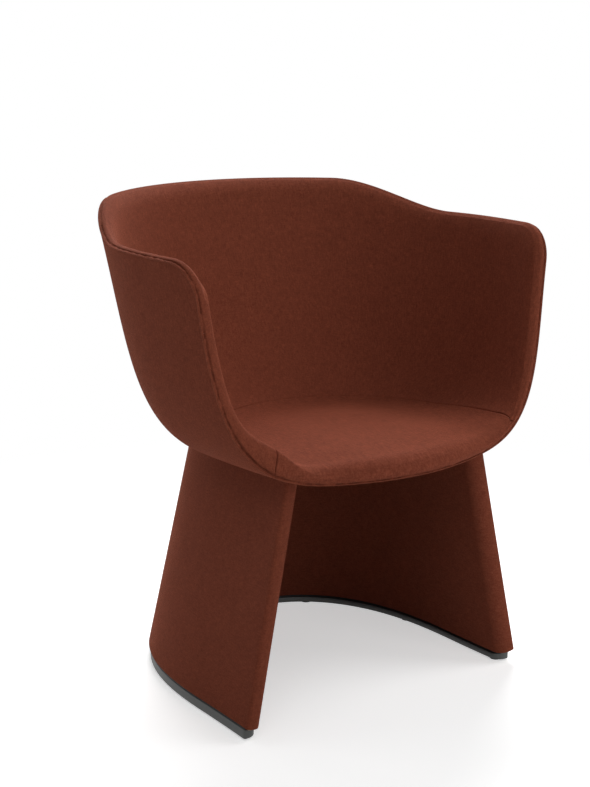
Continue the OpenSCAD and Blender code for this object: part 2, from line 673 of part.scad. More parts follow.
module bolt_washers() {
    color(steel_colour) place() at_bolts() translate([0, 0, plate_top - plate - washer]) difference() {
        cylinder(h = washer, d = washer_diameter, $fn = fixing_facets);
        translate([0, 0, -1]) cylinder(h = washer + 2, d = bolt_diameter + 2 * hole_gap, $fn = fixing_facets);
    }
}

module wall_screws() {
    color(steel_colour) place() at_wall_screws() {
        translate([0, 0, -wall_screw_head]) cylinder(h = wall_screw_head,
            d1 = 0.75 * wall_screw_head_diameter, d2 = wall_screw_head_diameter, $fn = fixing_facets);
        cylinder(h = wall_screw_length, d = wall_screw, $fn = fixing_facets);
    }
}

module plinth() {
    color([0.3, 0.3, 0.3]) place() difference() {
        solid_wall(concat([for (s = stations) plinth_point(s, glide_height)],
            [for (s = stations) plinth_point(s, plinth_height_at(s))]));
        plinth_screw_holes();
        at_stations(plinth_screw_stations) cylinder(h = glide_height + screw_recess + plinth_screw_head,
            d = plinth_screw_head_diameter + 2 * hole_gap, $fn = fixing_facets);
        at_stations(glide_stations) cylinder(h = glide_height + glide_pin_length + end_gap,
            d = glide_pin + 2 * hole_gap, $fn = fixing_facets);
    }
}

module plinth_screws() {
    color(steel_colour) place() at_stations(plinth_screw_stations)
        translate([0, 0, glide_height + screw_recess]) {
            cylinder(h = plinth_screw_head, d = plinth_screw_head_diameter, $fn = fixing_facets);
            cylinder(h = plinth_screw_length, d = plinth_screw, $fn = fixing_facets);
        }
}

module glides() {
    color([0.12, 0.12, 0.12]) place() at_stations(glide_stations) {
        cylinder(h = glide_chamfer, d1 = glide_diameter - 2 * glide_chamfer, d2 = glide_diameter,
            $fn = fixing_facets);
        translate([0, 0, glide_chamfer])
            cylinder(h = glide_height - glide_chamfer, d = glide_diameter, $fn = fixing_facets);
        cylinder(h = glide_height + glide_pin_length, d = glide_pin, $fn = fixing_facets);
    }
}

seat_shell();
shell_inserts();
outer_fleece();
seat_foam();
back_foam();
rim_roll();
outer_cover();
back_cover();
seat_cover();
base_wall();
base_fleece_sleeve();
base_cover();
seat_plate();
shell_bolts();
bolt_washers();
wall_screws();
plinth();
plinth_screws();
glides();
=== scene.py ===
"""Looks of an upholstered bucket chair: a wool-covered shell on a flared base that is open at the front."""
import math

import bmesh
import bpy
import numpy as np
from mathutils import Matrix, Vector
from mathutils.bvhtree import BVHTree
from mathutils.kdtree import KDTree


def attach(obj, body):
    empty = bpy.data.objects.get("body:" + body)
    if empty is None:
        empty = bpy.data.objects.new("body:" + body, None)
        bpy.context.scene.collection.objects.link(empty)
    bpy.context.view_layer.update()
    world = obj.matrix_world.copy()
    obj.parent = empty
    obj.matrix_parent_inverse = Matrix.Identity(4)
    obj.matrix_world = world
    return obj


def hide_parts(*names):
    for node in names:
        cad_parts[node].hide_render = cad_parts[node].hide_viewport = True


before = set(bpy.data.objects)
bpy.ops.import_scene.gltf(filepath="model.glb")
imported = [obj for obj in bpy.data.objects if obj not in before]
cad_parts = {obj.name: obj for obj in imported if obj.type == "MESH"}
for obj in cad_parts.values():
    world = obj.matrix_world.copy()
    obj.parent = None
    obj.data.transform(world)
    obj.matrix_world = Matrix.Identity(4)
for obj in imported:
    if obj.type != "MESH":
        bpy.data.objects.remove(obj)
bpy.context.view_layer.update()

# The moulded shell. A plastic bucket about 8 mm thick gives the chair its form, and every soft
# layer follows its outside face. It is out of sight, so its CAD solid stays and gets its finish:
# black, with the fine grain that the mould leaves.
class Nodes:
    """The nodes of a material, of the air or of a geometry group."""

    def __init__(self, tree):
        self.tree = tree

    def feed(self, node, inputs):
        """Links sockets to a node's inputs, or sets them to constants."""
        for socket, value in dict(inputs).items():
            if isinstance(value, bpy.types.NodeSocket):
                self.tree.links.new(value, node.inputs[socket])
            else:
                node.inputs[socket].default_value = value
        return node

    def add(self, kind, inputs=(), **settings):
        node = self.tree.nodes.new(kind)
        for key, value in settings.items():
            setattr(node, key, value)
        return self.feed(node, inputs)

    def maths(self, operation, *values, **settings):
        return self.add("ShaderNodeMath", enumerate(values), operation=operation, **settings).outputs[0]

    def noise(self, scale, detail, roughness=0.5, place=None, more=(), **settings):
        place = self.place if place is None else place
        given = {"Vector": place, "Scale": scale, "Detail": detail, "Roughness": roughness, **dict(more)}
        return self.add("ShaderNodeTexNoise", given, **settings).outputs[0]

    def spread(self, value, low, high, start=0, end=1):
        """A factor taken from start..end to low..high."""
        return self.add("ShaderNodeMapRange", {0: value, 1: start, 2: end, 3: low, 4: high}).outputs[0]

    def mix(self, factor, *colours):
        """A colour between two."""
        first, second = (c if isinstance(c, bpy.types.NodeSocket) else (*c, 1) for c in colours)
        return self.add("ShaderNodeMix", {0: factor, 6: first, 7: second}, data_type="RGBA").outputs[2]

    def mark(self, name):
        """A mark that the points of a piece carry."""
        return self.add("ShaderNodeAttribute", attribute_name=name).outputs["Fac"]


class Finish(Nodes):
    """A procedural material in the making, with its shader and the place on the piece for its textures."""

    def __init__(self, name, colour, roughness, metallic=0.0, specular=0.5):
        self.material = bpy.data.materials.new(name)
        self.material.use_nodes = True
        self.material.diffuse_color = (*colour, 1)
        super().__init__(self.material.node_tree)
        self.shader = self.feed(self.tree.nodes["Principled BSDF"], {
            "Base Color": (*colour, 1), "Roughness": roughness, "Metallic": metallic, "Specular IOR Level": specular})
        self.place = self.add("ShaderNodeTexCoord").outputs["Object"]

    def done(self, inputs, relief=None, strength=0.0, distance=0.0):
        """Feeds the shader, with a relief if there is one, and gives the material."""
        self.feed(self.shader, inputs)
        if relief is not None:
            bump = self.add("ShaderNodeBump", {"Height": relief, "Strength": strength, "Distance": distance})
            self.feed(self.shader, {"Normal": bump.outputs[0]})
        return self.material


def grained_plastic(name, dark, light, grain, depth, roughness):
    """Moulded plastic: fine pits, a faint cloud of lighter and darker colour, and painted black shade in a groove."""
    made = Finish(name, dark, roughness)
    cloud = made.noise(14, 4)
    pits = made.add("ShaderNodeTexVoronoi", {"Vector": made.place, "Scale": grain}, feature="SMOOTH_F1").outputs[0]
    # Painted shade: near black where the groove mark is set.
    colour = made.mix(made.mark("in_groove"), made.mix(cloud, dark, light), (0.004, 0.004, 0.004))
    dull = made.spread(cloud, roughness - 0.08, roughness + 0.08)
    return made.done({"Base Color": colour, "Roughness": dull}, pits, 0.35, depth)


def dress(node, finish):
    """Gives a CAD node its finish."""
    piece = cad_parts[node]
    piece.data.materials.clear()
    piece.data.materials.append(finish)


dress("seat_shell", grained_plastic("moulded_shell_black", (0.012, 0.012, 0.013), (0.022, 0.022, 0.024),
                                    900, 0.00025, 0.55))

# The fleece under the outside cover. A polyester fleece about 3 mm thick, glued to the shell, so
# that the cloth lies soft. It is cut as one blank and stretched over the bucket, whose own sizes
# are first needed here, in millimetres.
MM = 0.001
UPRIGHT = math.pi / 2
chair_middle = 82.626
half_width, back_reach, arm_front, front_bulge, bulge_power = 353, 390, 134, 91, 3.15
side_draw_in, back_draw_in, arm_toe_in, section_square = 45, 151, 11, 5.25
side_flare, back_flare, flare_power = 2.7, 5.8, 6
underside, arm_top, back_top, corner_radius = 386, 721, 767, 55
step_start, step_end = math.radians(16), math.radians(50.5)
cover, fleece, shell_wall, foam, seat_crown, seam_dip = 1.5, 2.8, 8, 9, 14, 2
layer_gap, rim_crown, rim_seam, rim_apex = 0.3, 6, 2, 11
seam_level, seam_rise, seam_fall, seam_lift = 51.9, 1.9, 0.71, 0.005
fleece_in = cover + layer_gap
shell_in = fleece_in + fleece + layer_gap
foam_in = shell_in + shell_wall + layer_gap
rim_thick = foam_in + foam + layer_gap + cover
corner_steps, arm_steps, back_steps = 20, 34, 220
seat_rows, wall_rows, top_rows = 34, 44, 5
seat_crowding, wall_crowding, wall_end = 0.75, 1.25, 1.4
seam_rise_at, seam_rise_width, seam_dip_width = 0.75, 0.5, math.radians(4)
seam_pinch, seam_pinch_width, crown_spread, seat_spread, arm_spread = 1.5, 1.3, 1.4, 3, 0.5
top_softness, top_reach, seat_softness, seat_reach = 7, 34, 10, 22
rim_swell, rim_swell_reach, front_fall, front_fall_reach = 2.2, 60, 6, 60
bulge_up, bulge_back, foam_bulge, foam_slack = 60, 34, 0.6, 1.5
rim_roundness, arm_flatter, seam_turn_in, arm_puff, lean_reach = 2.0, 0.15, 2.4, 0.05, 25
swell_room, swell_reach, pucker_reach, seat_weave, follow_from, follow_over = 2.5, 25, 1.3, 0.65, 0.25, 0.7
# Pairs: the half at the photograph's right, then the one at its left.
edge_softness, edge_reach = (5.5, 2.2), (26, 14)
corner_bulges, corner_lifts, corner_lift_reach = (-5, 17), (0.1, 0.65), 0.8


def smooth(t):
    t = np.clip(t, 0, 1)
    return t * t * (3 - 2 * t)


def bell(off, width):
    return np.exp(-(off / width) ** 2)


def unit(v):
    return v / np.maximum(np.linalg.norm(v, axis=-1, keepdims=True), 1e-12)


def bucket_size(deep, forward):
    """Half the width, the reach to the back and the toe-in, at a depth under the top (0..1) and a run forward."""
    flare = np.clip(1 - deep, 0, None) ** flare_power
    half = half_width - side_draw_in * deep + side_flare * flare
    reach = back_reach - back_draw_in * deep + back_flare * flare
    return half, reach, arm_toe_in * (forward / arm_front) ** 2 / half_width


def outside_face(turn, forward, angle):
    """Points of the bucket's outside, from the turn round the back, the run forward and the angle in its section."""
    ray = (np.abs(np.cos(angle)) ** section_square + np.abs(np.sin(angle)) ** section_square) ** (-1 / section_square)
    wide, deep = ray * np.cos(angle), ray * np.sin(angle)
    half, reach, toe = bucket_size(deep, forward)
    return np.stack([half * wide * np.cos(turn) * (1 - toe), reach * wide * np.sin(turn) - forward,
                     back_top - (back_top - underside) * deep], -1)


def into_bucket(turn, forward, angle):
    """Directions square to the outside face, towards the sitter."""
    step, reach, keel = 1e-3, 0.05, math.radians(89.9)
    hand = np.where(np.cos(turn) > 0, 1.0, -1.0)[..., None]
    straight = hand * (outside_face(turn, forward - reach, angle) - outside_face(turn, forward + reach, angle))
    curved = outside_face(turn + step, forward, angle) - outside_face(turn - step, forward, angle)
    run = np.where((np.abs(np.sin(turn)) < 1e-9)[..., None], straight, curved)
    drop = outside_face(turn, forward, angle + step) - outside_face(turn, forward, angle - step)
    return np.where((angle > keel)[..., None], [0.0, 0.0, 1.0], unit(np.cross(run, drop)))


def section_angle(height):
    k = np.clip((back_top - height) / (back_top - underside), 0, 1)
    return np.arctan2(k, (1 - k ** section_square) ** (1 / section_square))


def run_along(points):
    """How far each point of a row lies from the row's first, measured along it."""
    steps = np.sqrt((np.diff(points, axis=-2) ** 2).sum(-1))
    return np.concatenate([np.zeros((*steps.shape[:-1], 1)), np.cumsum(steps, -1)], -1)


def crown(deep, under=0.0):
    """Height of the rim's crown over the edges of the layers, at a depth."""
    off = np.asarray(deep, float) - rim_apex
    across = np.clip(np.where(off < 0, -off / (rim_apex - under), off / (rim_thick - rim_apex - under)), 0, 1)
    return (rim_crown - under) * (1 - across ** rim_roundness) ** (1 / rim_roundness)


def knots_at(depths, under=0.0, lift=0.0):
    """Knots of a rim profile on the crown, of which the inner ones follow the extra thickness."""
    depths = np.asarray(depths, float)
    share = smooth((depths / rim_thick - follow_from) / follow_over)
    return np.stack([depths, crown(depths, under) + lift, share], -1).tolist()


class Layer:
    """The grid that all the layers share: columns run round the bucket, rows from its keel to its rim."""

    def __init__(self, inset=rim_crown, side=0, finer=1.0, seam_rows=(0.03,), swelling=None, firm=False, lean=0.0):
        self.inset, self.side = inset, side
        self.set_columns(*(max(2, round(n * finer)) for n in (corner_steps, arm_steps, back_steps)))
        near = np.radians(np.array(seam_rows))
        self.set_rows(max(4, round(seat_rows * finer)), max(6, round(wall_rows * finer)), near)
        self.upholster(swelling, firm)
        self.lean = lean * bell(self.past_seam, lean_reach) * (self.station > 3)[:, None]
        last, rows = self.columns - 1, self.rows - 1
        self.loop = ([(0, j) for j in range(rows)] + [(i, rows) for i in range(last)]
                     + [(last, j) for j in range(rows, 0, -1)])
        round_it = run_along(self.face[:, rows * 2 // 3])
        round_it = np.broadcast_to((round_it - round_it.mean())[:, None], self.climb.shape)
        self.weave = seat_weave * self.face[..., :2] if side > 0 else np.stack([round_it, self.climb], -1)

    def set_columns(self, corner, arm, back):
        """Columns up one front corner, along its arm, round the back and the same way down again.

        The station is 0 to 1 on the first corner, to 2 on its arm, to 4 on the back and to 6 on the rest.
        """
        half = corner + 1 + arm
        share = np.concatenate([np.ones(corner + 1), 1 - np.arange(1, arm + 1) / arm])
        bend = np.concatenate([UPRIGHT * np.arange(corner + 1) / corner, np.full(arm, UPRIGHT)])
        station = np.concatenate([np.arange(corner + 1) / corner, 1 + np.arange(1, arm + 1) / arm])
        self.turn = np.concatenate([np.zeros(half), np.pi * np.arange(1, back) / back, np.full(half, np.pi)])
        self.share = np.concatenate([share, np.zeros(back - 1), share[::-1]])
        self.bend = np.concatenate([bend, np.full(back - 1, UPRIGHT), bend[::-1]])
        self.station = np.concatenate([station, 2 + 2 * np.arange(1, back) / back, (6 - station)[::-1]])
        self.columns = len(self.turn)
        self.side_turn = np.where(self.turn > UPRIGHT, np.pi - self.turn, self.turn)

    def set_rows(self, lower, upper, near):
        """Rows from the keel up to the seam and on to the rim, with close ones near the seam on either side."""
        off_middle = np.abs(3 - self.station)
        in_corner = np.where(self.station < 3, *corner_lifts) * bell(3 - off_middle, corner_lift_reach)
        seam = np.radians(seam_level + seam_rise * bell(off_middle - seam_rise_at, seam_rise_width)
                          - seam_fall * off_middle ** 2 + seam_lift * off_middle ** 6 - in_corner)
        step = smooth((self.side_turn - step_start) / (step_end - step_start))
        rim = section_angle(arm_top + (back_top - arm_top) * step - self.inset
                            - (corner_radius - self.inset) * (1 - np.sin(self.bend)))
        level = section_angle(arm_top - wall_end * corner_radius)
        low = UPRIGHT + (seam + near[-1] - UPRIGHT)[:, None] * (np.arange(lower + 1) / lower) ** seat_crowding
        low = np.concatenate([low[:, :-1], seam[:, None] + near[::-1]], 1)
        up = (np.arange(1, upper + 1) / upper) ** wall_crowding
        high = (seam - near[-1])[:, None] + (level - seam + near[-1])[:, None] * up
        high = np.concatenate([seam[:, None] - near, high], 1)
        top = level + (rim - level)[:, None] * np.arange(1, top_rows + 1) / top_rows
        at_seam = low[:, -1:] if self.side > 0 else high[:, :1] if self.side < 0 else seam[:, None]
        self.seam, self.angle = seam[:, None], np.concatenate([low[:, :-1], at_seam, high[:, 1:], top], 1)
        self.rows = self.angle.shape[1]
        self.first = low.shape[1] - 1 if self.side < 0 else 0
        self.last_row = low.shape[1] - 1 if self.side > 0 else self.rows - 1
        front = arm_front + front_bulge * np.sin(self.angle) ** bulge_power
        round_corner = front - corner_radius + (corner_radius - self.inset) * np.cos(self.bend)[:, None]
        forward = np.where((self.share == 1)[:, None], round_corner, (front - corner_radius) * self.share[:, None])
        turn = np.broadcast_to(self.turn[:, None], self.angle.shape)
        self.face = outside_face(turn, forward, self.angle)
        self.inner = into_bucket(turn, forward, self.angle)
        self.climb = run_along(self.face)
        sewn = np.array([np.interp(-s, -a, c) for s, a, c in zip(seam, self.angle, self.climb)])[:, None]
        self.past_seam = self.climb - sewn
        self.to_front = np.maximum(front - self.inset - forward, 0.01)
        self.to_top = np.maximum(self.climb[:, -1:] - self.climb, 0.01)
        self.to_rim = (self.to_front ** -4 + self.to_top ** -4) ** -0.25
        whole = np.where(self.side > 0, UPRIGHT - seam, seam - self.angle[:, -1])[:, None]
        self.share_down = np.abs(self.angle - self.seam) / whole

    def upholster(self, swelling, firm):
        """The thickness beyond the layers' own: the seat's crown, the soft rim, the stuffed corners, the swelling."""
        over = (self.angle - self.seam) / (UPRIGHT - self.seam)
        on_seat = smooth(seat_spread * over)
        on_back = smooth(self.side_turn / arm_spread)[:, None] * np.ones_like(over)
        by_top = (self.to_rim / self.to_top) ** 4

        def blend(edge, top, seat):
            edge = np.where(self.station < 3, *edge)[:, None]
            return (edge + (top - edge) * by_top) * (1 - on_seat) + seat * on_seat

        softness = blend(edge_softness, top_softness, seat_softness)
        reach = blend(edge_reach, top_reach, seat_reach)
        self.pinch = seam_pinch * bell(self.past_seam, seam_pinch_width)
        self.extra = seat_crown * smooth(crown_spread * over) - seam_dip * bell(self.angle - self.seam, seam_dip_width)
        self.extra -= softness * np.clip(1 - self.to_rim / reach, 0, 1) ** 2
        self.extra -= front_fall * on_seat * bell(self.to_front, front_fall_reach)
        self.extra += rim_swell * (1 - on_back) * (1 - on_seat) * bell(self.to_rim, rim_swell_reach)
        self.roundness = 1 - arm_flatter + arm_flatter * np.maximum(on_seat, on_back)
        self.seam_in = seam_turn_in * (1 - on_seat)
        self.on_arm = (1 - on_back) * smooth(2 * np.sin(self.bend) - 1)[:, None]
        stuffed = np.where(self.station < 3, *corner_bulges)[:, None]
        bulge = stuffed * bell(self.past_seam, bulge_up) * bell(self.to_front, bulge_back)
        self.extra += np.minimum(foam_bulge * bulge, foam_slack * bulge) if firm else bulge
        if swelling is not None:
            self.extra += (swelling.at(self) - swell_room) * (1 - bell(self.to_rim, swell_reach))

    def at_depth(self, deep, follow):
        return self.face + self.inner * (deep + follow * (self.extra - self.pinch))[..., None]

    def around_rim(self, knots, cells):
        """Points that wrap the rim: each knot is (depth, height over the edge, share of the extra thickness)."""
        i, j = np.array(cells).T
        place = {cell: n for n, cell in enumerate(self.loop)}
        skin = np.array([self.face[c] for c in self.loop])
        run = unit(np.roll(skin, -1, 0) - np.roll(skin, 1, 0))[[place.get(c, 0) for c in cells]]
        inner, more, dent = self.inner[i, j], self.extra[i, j], self.pinch[i, j][:, None]
        outer = unit(np.cross(run, inner))
        at, height, share = np.array(knots).T
        moved = self.seam_in[i, j][:, None] * np.minimum(at / rim_seam, (rim_thick - at) / (rim_thick - rim_seam))
        deep = at + np.clip(moved, 0, None)
        high = height + crown(deep) - crown(at)
        puff = np.clip(more, 0, None) / rim_thick + arm_puff * self.on_arm[i, j]
        high = np.where(high > 0, high * (1 + puff)[:, None], high)
        deep = deep + share * (more[:, None] - dent)
        across = np.clip((at - rim_apex) / (rim_thick - rim_apex), 0, 1)
        rounder = rim_crown * ((1 - across ** rim_roundness) ** (1 / rim_roundness) - (1 - across ** 2))
        high = high - dent * smooth((at - rim_seam) / 2) - rounder * self.roundness[i, j][:, None]
        points = self.face[i, j][:, None] + inner[:, None] * deep[..., None] + outer[:, None] * high[..., None]
        points += run[:, None] * (self.lean[i, j][:, None] * (rim_thick - at))[..., None]
        swing = np.array([[0.0, -1.0]])
        if self.side <= 0:
            swing = np.stack([-np.cos(self.bend[i]), np.sin(self.bend[i])], -1)
            swing = np.where((i > self.columns // 2)[:, None], swing * [-1, 1], swing)
        return points, self.weave[i, j][:, None] + swing[:, None] * run_along(points)[..., None]


def turned_outwards(mesh):
    """Turns all faces of a closed mesh outwards."""
    shell = bmesh.new()
    shell.from_mesh(mesh)
    bmesh.ops.recalc_face_normals(shell, faces=shell.faces)
    shell.to_mesh(mesh)
    shell.free()


def in_scene(name, data):
    made = bpy.data.objects.new(name, data)
    bpy.context.scene.collection.objects.link(made)
    return made


def sewn_mesh(name, points, quads, weave, marks=()):
    """A closed mesh from points in millimetres, with the run of its weave in metres as its UV map."""
    place = (points - [0, chair_middle, 0]) * MM
    _, keep, same = np.unique(np.round(place, 7), axis=0, return_index=True, return_inverse=True)
    same = same.reshape(-1)
    faces, corners = [], []
    for quad in quads:
        kept = [c for n, c in enumerate(quad) if same[c] != same[quad[n - 1]]]
        if len(kept) > 2 and len({same[c] for c in kept}) == len(kept):
            faces.append([same[c] for c in kept])
            corners += kept
    mesh = bpy.data.meshes.new(name)
    mesh.from_pydata(place[keep].tolist(), [], faces)
    layer = mesh.uv_layers.new(name="weave")
    layer.data.foreach_set("uv", (weave[corners] * MM).astype(np.float32).ravel())
    for mark, values in dict(marks).items():
        mesh.attributes.new(mark, "FLOAT", "POINT").data.foreach_set("value", values[keep].astype(np.float32))
    turned_outwards(mesh)
    mesh.shade_smooth()
    return in_scene(name, mesh)


def grid_quads(rows, columns, start=0):
    """Quads over a block of points that is stored row by row."""
    at = start + np.arange(rows * columns).reshape(rows, columns)
    return np.stack([at[:-1, :-1], at[1:, :-1], at[1:, 1:], at[:-1, 1:]], -1).reshape(-1, 4).tolist()


def folded_shut(line):
    """Quads that fill an outline, from the line's two ends towards its middle."""
    return [[line[n], line[n + 1], line[-2 - n], line[-1 - n]] for n in range((len(line) - 1) // 2)]


def layer_piece(name, grid, low, high, wrap, rubbed=(0.0, 1.0)):
    """A closed layer between two depths. wrap is the rim's profile, from the low edge to the high one.

    Its points carry two marks: a line of worn nap, painted lighter as wear and as a painted
    highlight (the third argument gives its depth and width, 0.0 for none), and how near the rim's seam
    is, which is below 0 on the way back; that one sets the puckers and the painted shade along the seam.
    """
    first, last_row, cells = grid.first, grid.last_row, grid.loop
    whole = first == 0 and last_row == grid.rows - 1
    if whole:
        cells = cells + cells[:1]
    elif first == 0:
        cells = cells[-last_row:] + cells[:last_row + 1]
    else:
        cells = cells[first:len(cells) - first + 1]
    i, j = np.array(cells).T
    skins = [grid.at_depth(*side) for side in (low, high)]
    faces = [skin[:, first:last_row + 1] for skin in skins]
    shape = faces[0].shape[:2]
    count = shape[0] * shape[1]
    flat, edge_weave = grid.weave[:, first:last_row + 1].reshape(-1, 2), grid.weave[i, j][:, None]
    rim, rim_weave = grid.around_rim(wrap, cells)
    band = np.concatenate([skins[0][i, j][:, None], rim, skins[1][i, j][:, None]], 1)
    band_weave = np.concatenate([edge_weave, rim_weave, edge_weave], 1)
    points = np.concatenate([*(face.reshape(-1, 3) for face in faces), band.reshape(-1, 3)])
    weave = np.concatenate([flat, flat, band_weave.reshape(-1, 2)])
    quads = grid_quads(*shape) + grid_quads(*shape, start=count) + grid_quads(*band.shape[:2], start=2 * count)
    if not whole:
        line = np.arange(shape[0]) * shape[1] + (last_row if first == 0 else 0)
        quads += [[a, b, b + count, a + count] for a, b in zip(line[:-1].tolist(), line[1:].tolist())]
        for end in (2 * count, 2 * count + (len(cells) - 1) * band.shape[1]):
            quads += folded_shut(range(end, end + band.shape[1]))
    deep = np.array(wrap)[:, 0]
    onward = np.sign(np.gradient(deep))
    marks = {}
    for mark, place, width, face in (("rubbed", *rubbed, 1), ("by_seam", rim_seam, pucker_reach, onward)):
        line = bell(deep - place, width) * (place != 0) * face
        marks[mark] = np.concatenate([np.zeros(2 * count), np.tile([0, *line, 0], len(cells))])
    return sewn_mesh(name, points, quads, weave, marks)


def fibre_fleece(name):
    """White polyester fleece: a mat of crossed fibres, faintly uneven in thickness."""
    made = Finish(name, (0.86, 0.86, 0.83), 0.95, specular=0.1)
    mat = made.noise(380, 6, 0.8, more={"Distortion": 2})
    uneven = made.maths("MULTIPLY_ADD", made.noise(25, 3), 2.0, mat)
    colour = made.mix(mat, (0.74, 0.74, 0.7), (0.93, 0.93, 0.9))
    return made.done({"Base Color": colour, "Sheen Weight": 0.3}, uneven, 0.6, 0.0012)


def set_in(piece, finish, node):
    """Puts a piece on the chair in place of its CAD solids."""
    if finish.name not in piece.data.materials:
        piece.data.materials.append(finish)
    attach(piece, "root")
    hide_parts(node)
    return piece


white_fleece = fibre_fleece("white_fleece")
fleece_edge = [(fleece_in + share * fleece, 0.4, 0) for share in (0.2, 0.5, 0.8)]
outside_fleece = layer_piece("outside_fleece", Layer(finer=0.4), (fleece_in, 0), (fleece_in + fleece, 0), fleece_edge)
set_in(outside_fleece, white_fleece, "outer_fleece")

# The seat foam. A moulded pad of polyurethane foam, crowned in the middle and thick at its front
# edge, glued into the shell between the back foam and the rim.
edge_setback = 6
pad_inset = rim_crown + edge_setback
pad_edge = [(foam_in + share * foam, 1.6 * math.sin(math.pi * share), share) for share in (0.1, 0.3, 0.5, 0.7, 0.9)]
guess_width, hold_width, most_swelling = 16, 14, 1.1
cloth_frames, even_out, held_gap, longest_ray = 20, 3, 0.8, 0.05


def open_foam(name):
    """Polyurethane foam: fine open cells, with larger bubbles here and there, yellowed a little."""
    made = Finish(name, (0.85, 0.78, 0.58), 0.9, specular=0.1)
    cells, bubbles = (made.add("ShaderNodeTexVoronoi", {"Vector": made.place, "Scale": scale}).outputs[0]
                      for scale in (800, 160))
    colour = made.mix(made.noise(12, 3), (0.8, 0.7, 0.48), (0.9, 0.84, 0.68))
    return made.done({"Base Color": colour}, made.maths("MULTIPLY_ADD", bubbles, 0.4, cells), 0.7, 0.001)


class Swelling:
    """How far a pad swells when its cloth is blown up a little, held at the shell, the seam and the rim."""

    def __init__(self, side, voxel, pressure):
        self.grid = g = Layer(pad_inset, side, 0.5, (0.03, 1.2), firm=True)
        self.rows = slice(g.first, g.last_row + 1)
        start = g.at_depth(foam_in + foam - swell_room, 1)[:, self.rows]
        edge = np.minimum(g.to_rim, np.abs(g.past_seam))[:, self.rows]
        self.swell = swell_room * (1 - bell(edge, guess_width))
        pad = layer_piece("swelling_pad", g, (foam_in, 0), (foam_in + foam - swell_room, 1), pad_edge)
        skin = (start - [0, chair_middle, 0]).reshape(-1, 3) * MM
        blown = self.blow_up(pad, skin, edge.ravel(), voxel, pressure)
        rise = np.zeros(len(skin))
        for n, (point, aim) in enumerate(zip(skin, g.inner[:, self.rows].reshape(-1, 3))):
            hit = blown.ray_cast(Vector(point - aim * 2 * voxel), Vector(aim), longest_ray)
            rise[n] = (hit[3] - 2 * voxel) / MM if hit[0] is not None else 0
        rise = np.clip(rise, 0, None).reshape(start.shape[:2])
        for _ in range(even_out):
            beside = rise[:-2, 1:-1] + rise[2:, 1:-1] + rise[1:-1, :-2] + rise[1:-1, 2:]
            rise[1:-1, 1:-1] = (rise[1:-1, 1:-1] * 2 + beside) / 6
        self.swell = swell_room * most_swelling * np.tanh(rise / swell_room)
        bpy.data.objects.remove(pad)
        bpy.context.scene.frame_set(1)

    def blow_up(self, pad, skin, edge, voxel, pressure):
        """Remeshes the pad, runs its cloth under pressure with all but its free skin held, and gives its surface."""
        bpy.context.view_layer.objects.active = pad
        remesh = pad.modifiers.new("voxels", "REMESH")
        remesh.mode, remesh.voxel_size = "VOXEL", voxel
        bpy.ops.object.modifier_apply(modifier="voxels")
        finder = KDTree(len(skin))
        for n, point in enumerate(skin):
            finder.insert(point, n)
        finder.balance()
        held = pad.vertex_groups.new(name="held")
        for vertex in pad.data.vertices:
            _, cell, gap = finder.find(vertex.co)
            free = 0.0 if gap > held_gap * voxel else float(smooth(edge[cell] / hold_width))
            held.add([vertex.index], 1 - free, "REPLACE")
        cloth = pad.modifiers.new("cloth", "CLOTH")
        made = cloth.settings
        made.quality, made.mass = 5, 0.25
        made.tension_stiffness = made.compression_stiffness = 12
        made.shear_stiffness, made.bending_stiffness = 5, 0.4
        made.use_pressure, made.uniform_pressure_force = True, pressure
        made.effector_weights.gravity = 0
        made.vertex_group_mass, made.pin_stiffness = "held", 1
        cloth.point_cache.frame_start, cloth.point_cache.frame_end = 1, cloth_frames
        for now in range(1, cloth_frames + 1):
            bpy.context.scene.frame_set(now)
        return BVHTree.FromObject(pad, bpy.context.evaluated_depsgraph_get())

    def at(self, layer):
        """The swelling in millimetres on the grid of another layer of the same side."""
        even = np.linspace(0, 1, 60)
        order = 1 if self.grid.side < 0 else -1
        table = np.array([np.interp(even, down[::order], rise[::order])
                          for down, rise in zip(self.grid.share_down[:, self.rows], self.swell)])
        table = np.array([np.interp(layer.station, self.grid.station, column) for column in table.T]).T
        return np.array([np.interp(down, even, row) for down, row in zip(layer.share_down, table)])


def foam_pad(name, side, swelling, node):
    """A moulded pad between the shell and the covers, on one side of the seam."""
    grid = Layer(pad_inset, side, 0.7, (0.03, 0.4, 1.2), swelling, True)
    pad = layer_piece(name, grid, (foam_in, 0), (foam_in + foam, 1), pad_edge)
    return set_in(pad, cream_foam, node)


cream_foam = open_foam("cream_foam")
seat_swelling = Swelling(1, 0.005, 4)
seat_pad = foam_pad("seat_pad", 1, seat_swelling, "seat_foam")

# The back and arm foam. A thinner moulded pad that lines the back and both arms down to the
# seam round the seat.
back_swelling = Swelling(-1, 0.006, 4)
back_pad = foam_pad("back_pad", -1, back_swelling, "back_foam")

# The rim padding. A soft foam strip that is glued over the edges of the shell and the foam, all
# the way round the rim and under the seat front, and gives the rim its round crown.
roll_under = cover + 2 * layer_gap
roll_low, roll_foot = shell_in + layer_gap, -0.6 * edge_setback
roll_scale = rim_thick / 24.2
roll_depths = [roll_low] + [depth * roll_scale for depth in (7, 8.5, 11, 14, 17, 19, 20.5, 21.4)]


def tube_quads(rows, columns):
    """Quads over a block of points that closes on itself both ways."""
    at = np.arange(rows * columns).reshape(rows, columns)
    ahead = np.roll(at, -1, 0)
    return np.stack([at, ahead, np.roll(ahead, -1, 1), np.roll(at, -1, 1)], -1).reshape(-1, 4).tolist()


roll_profile = [(roll_low, roll_foot, 0), *knots_at(roll_depths, roll_under), (rim_thick - roll_under, roll_foot, 1)]
roll_grid = Layer(finer=0.5, firm=True)
roll_points, roll_weave = roll_grid.around_rim(roll_profile, roll_grid.loop)
rim_padding = sewn_mesh("rim_padding", roll_points.reshape(-1, 3), tube_quads(*roll_points.shape[:2]),
                        roll_weave.reshape(-1, 2))
set_in(rim_padding, cream_foam, "rim_roll")

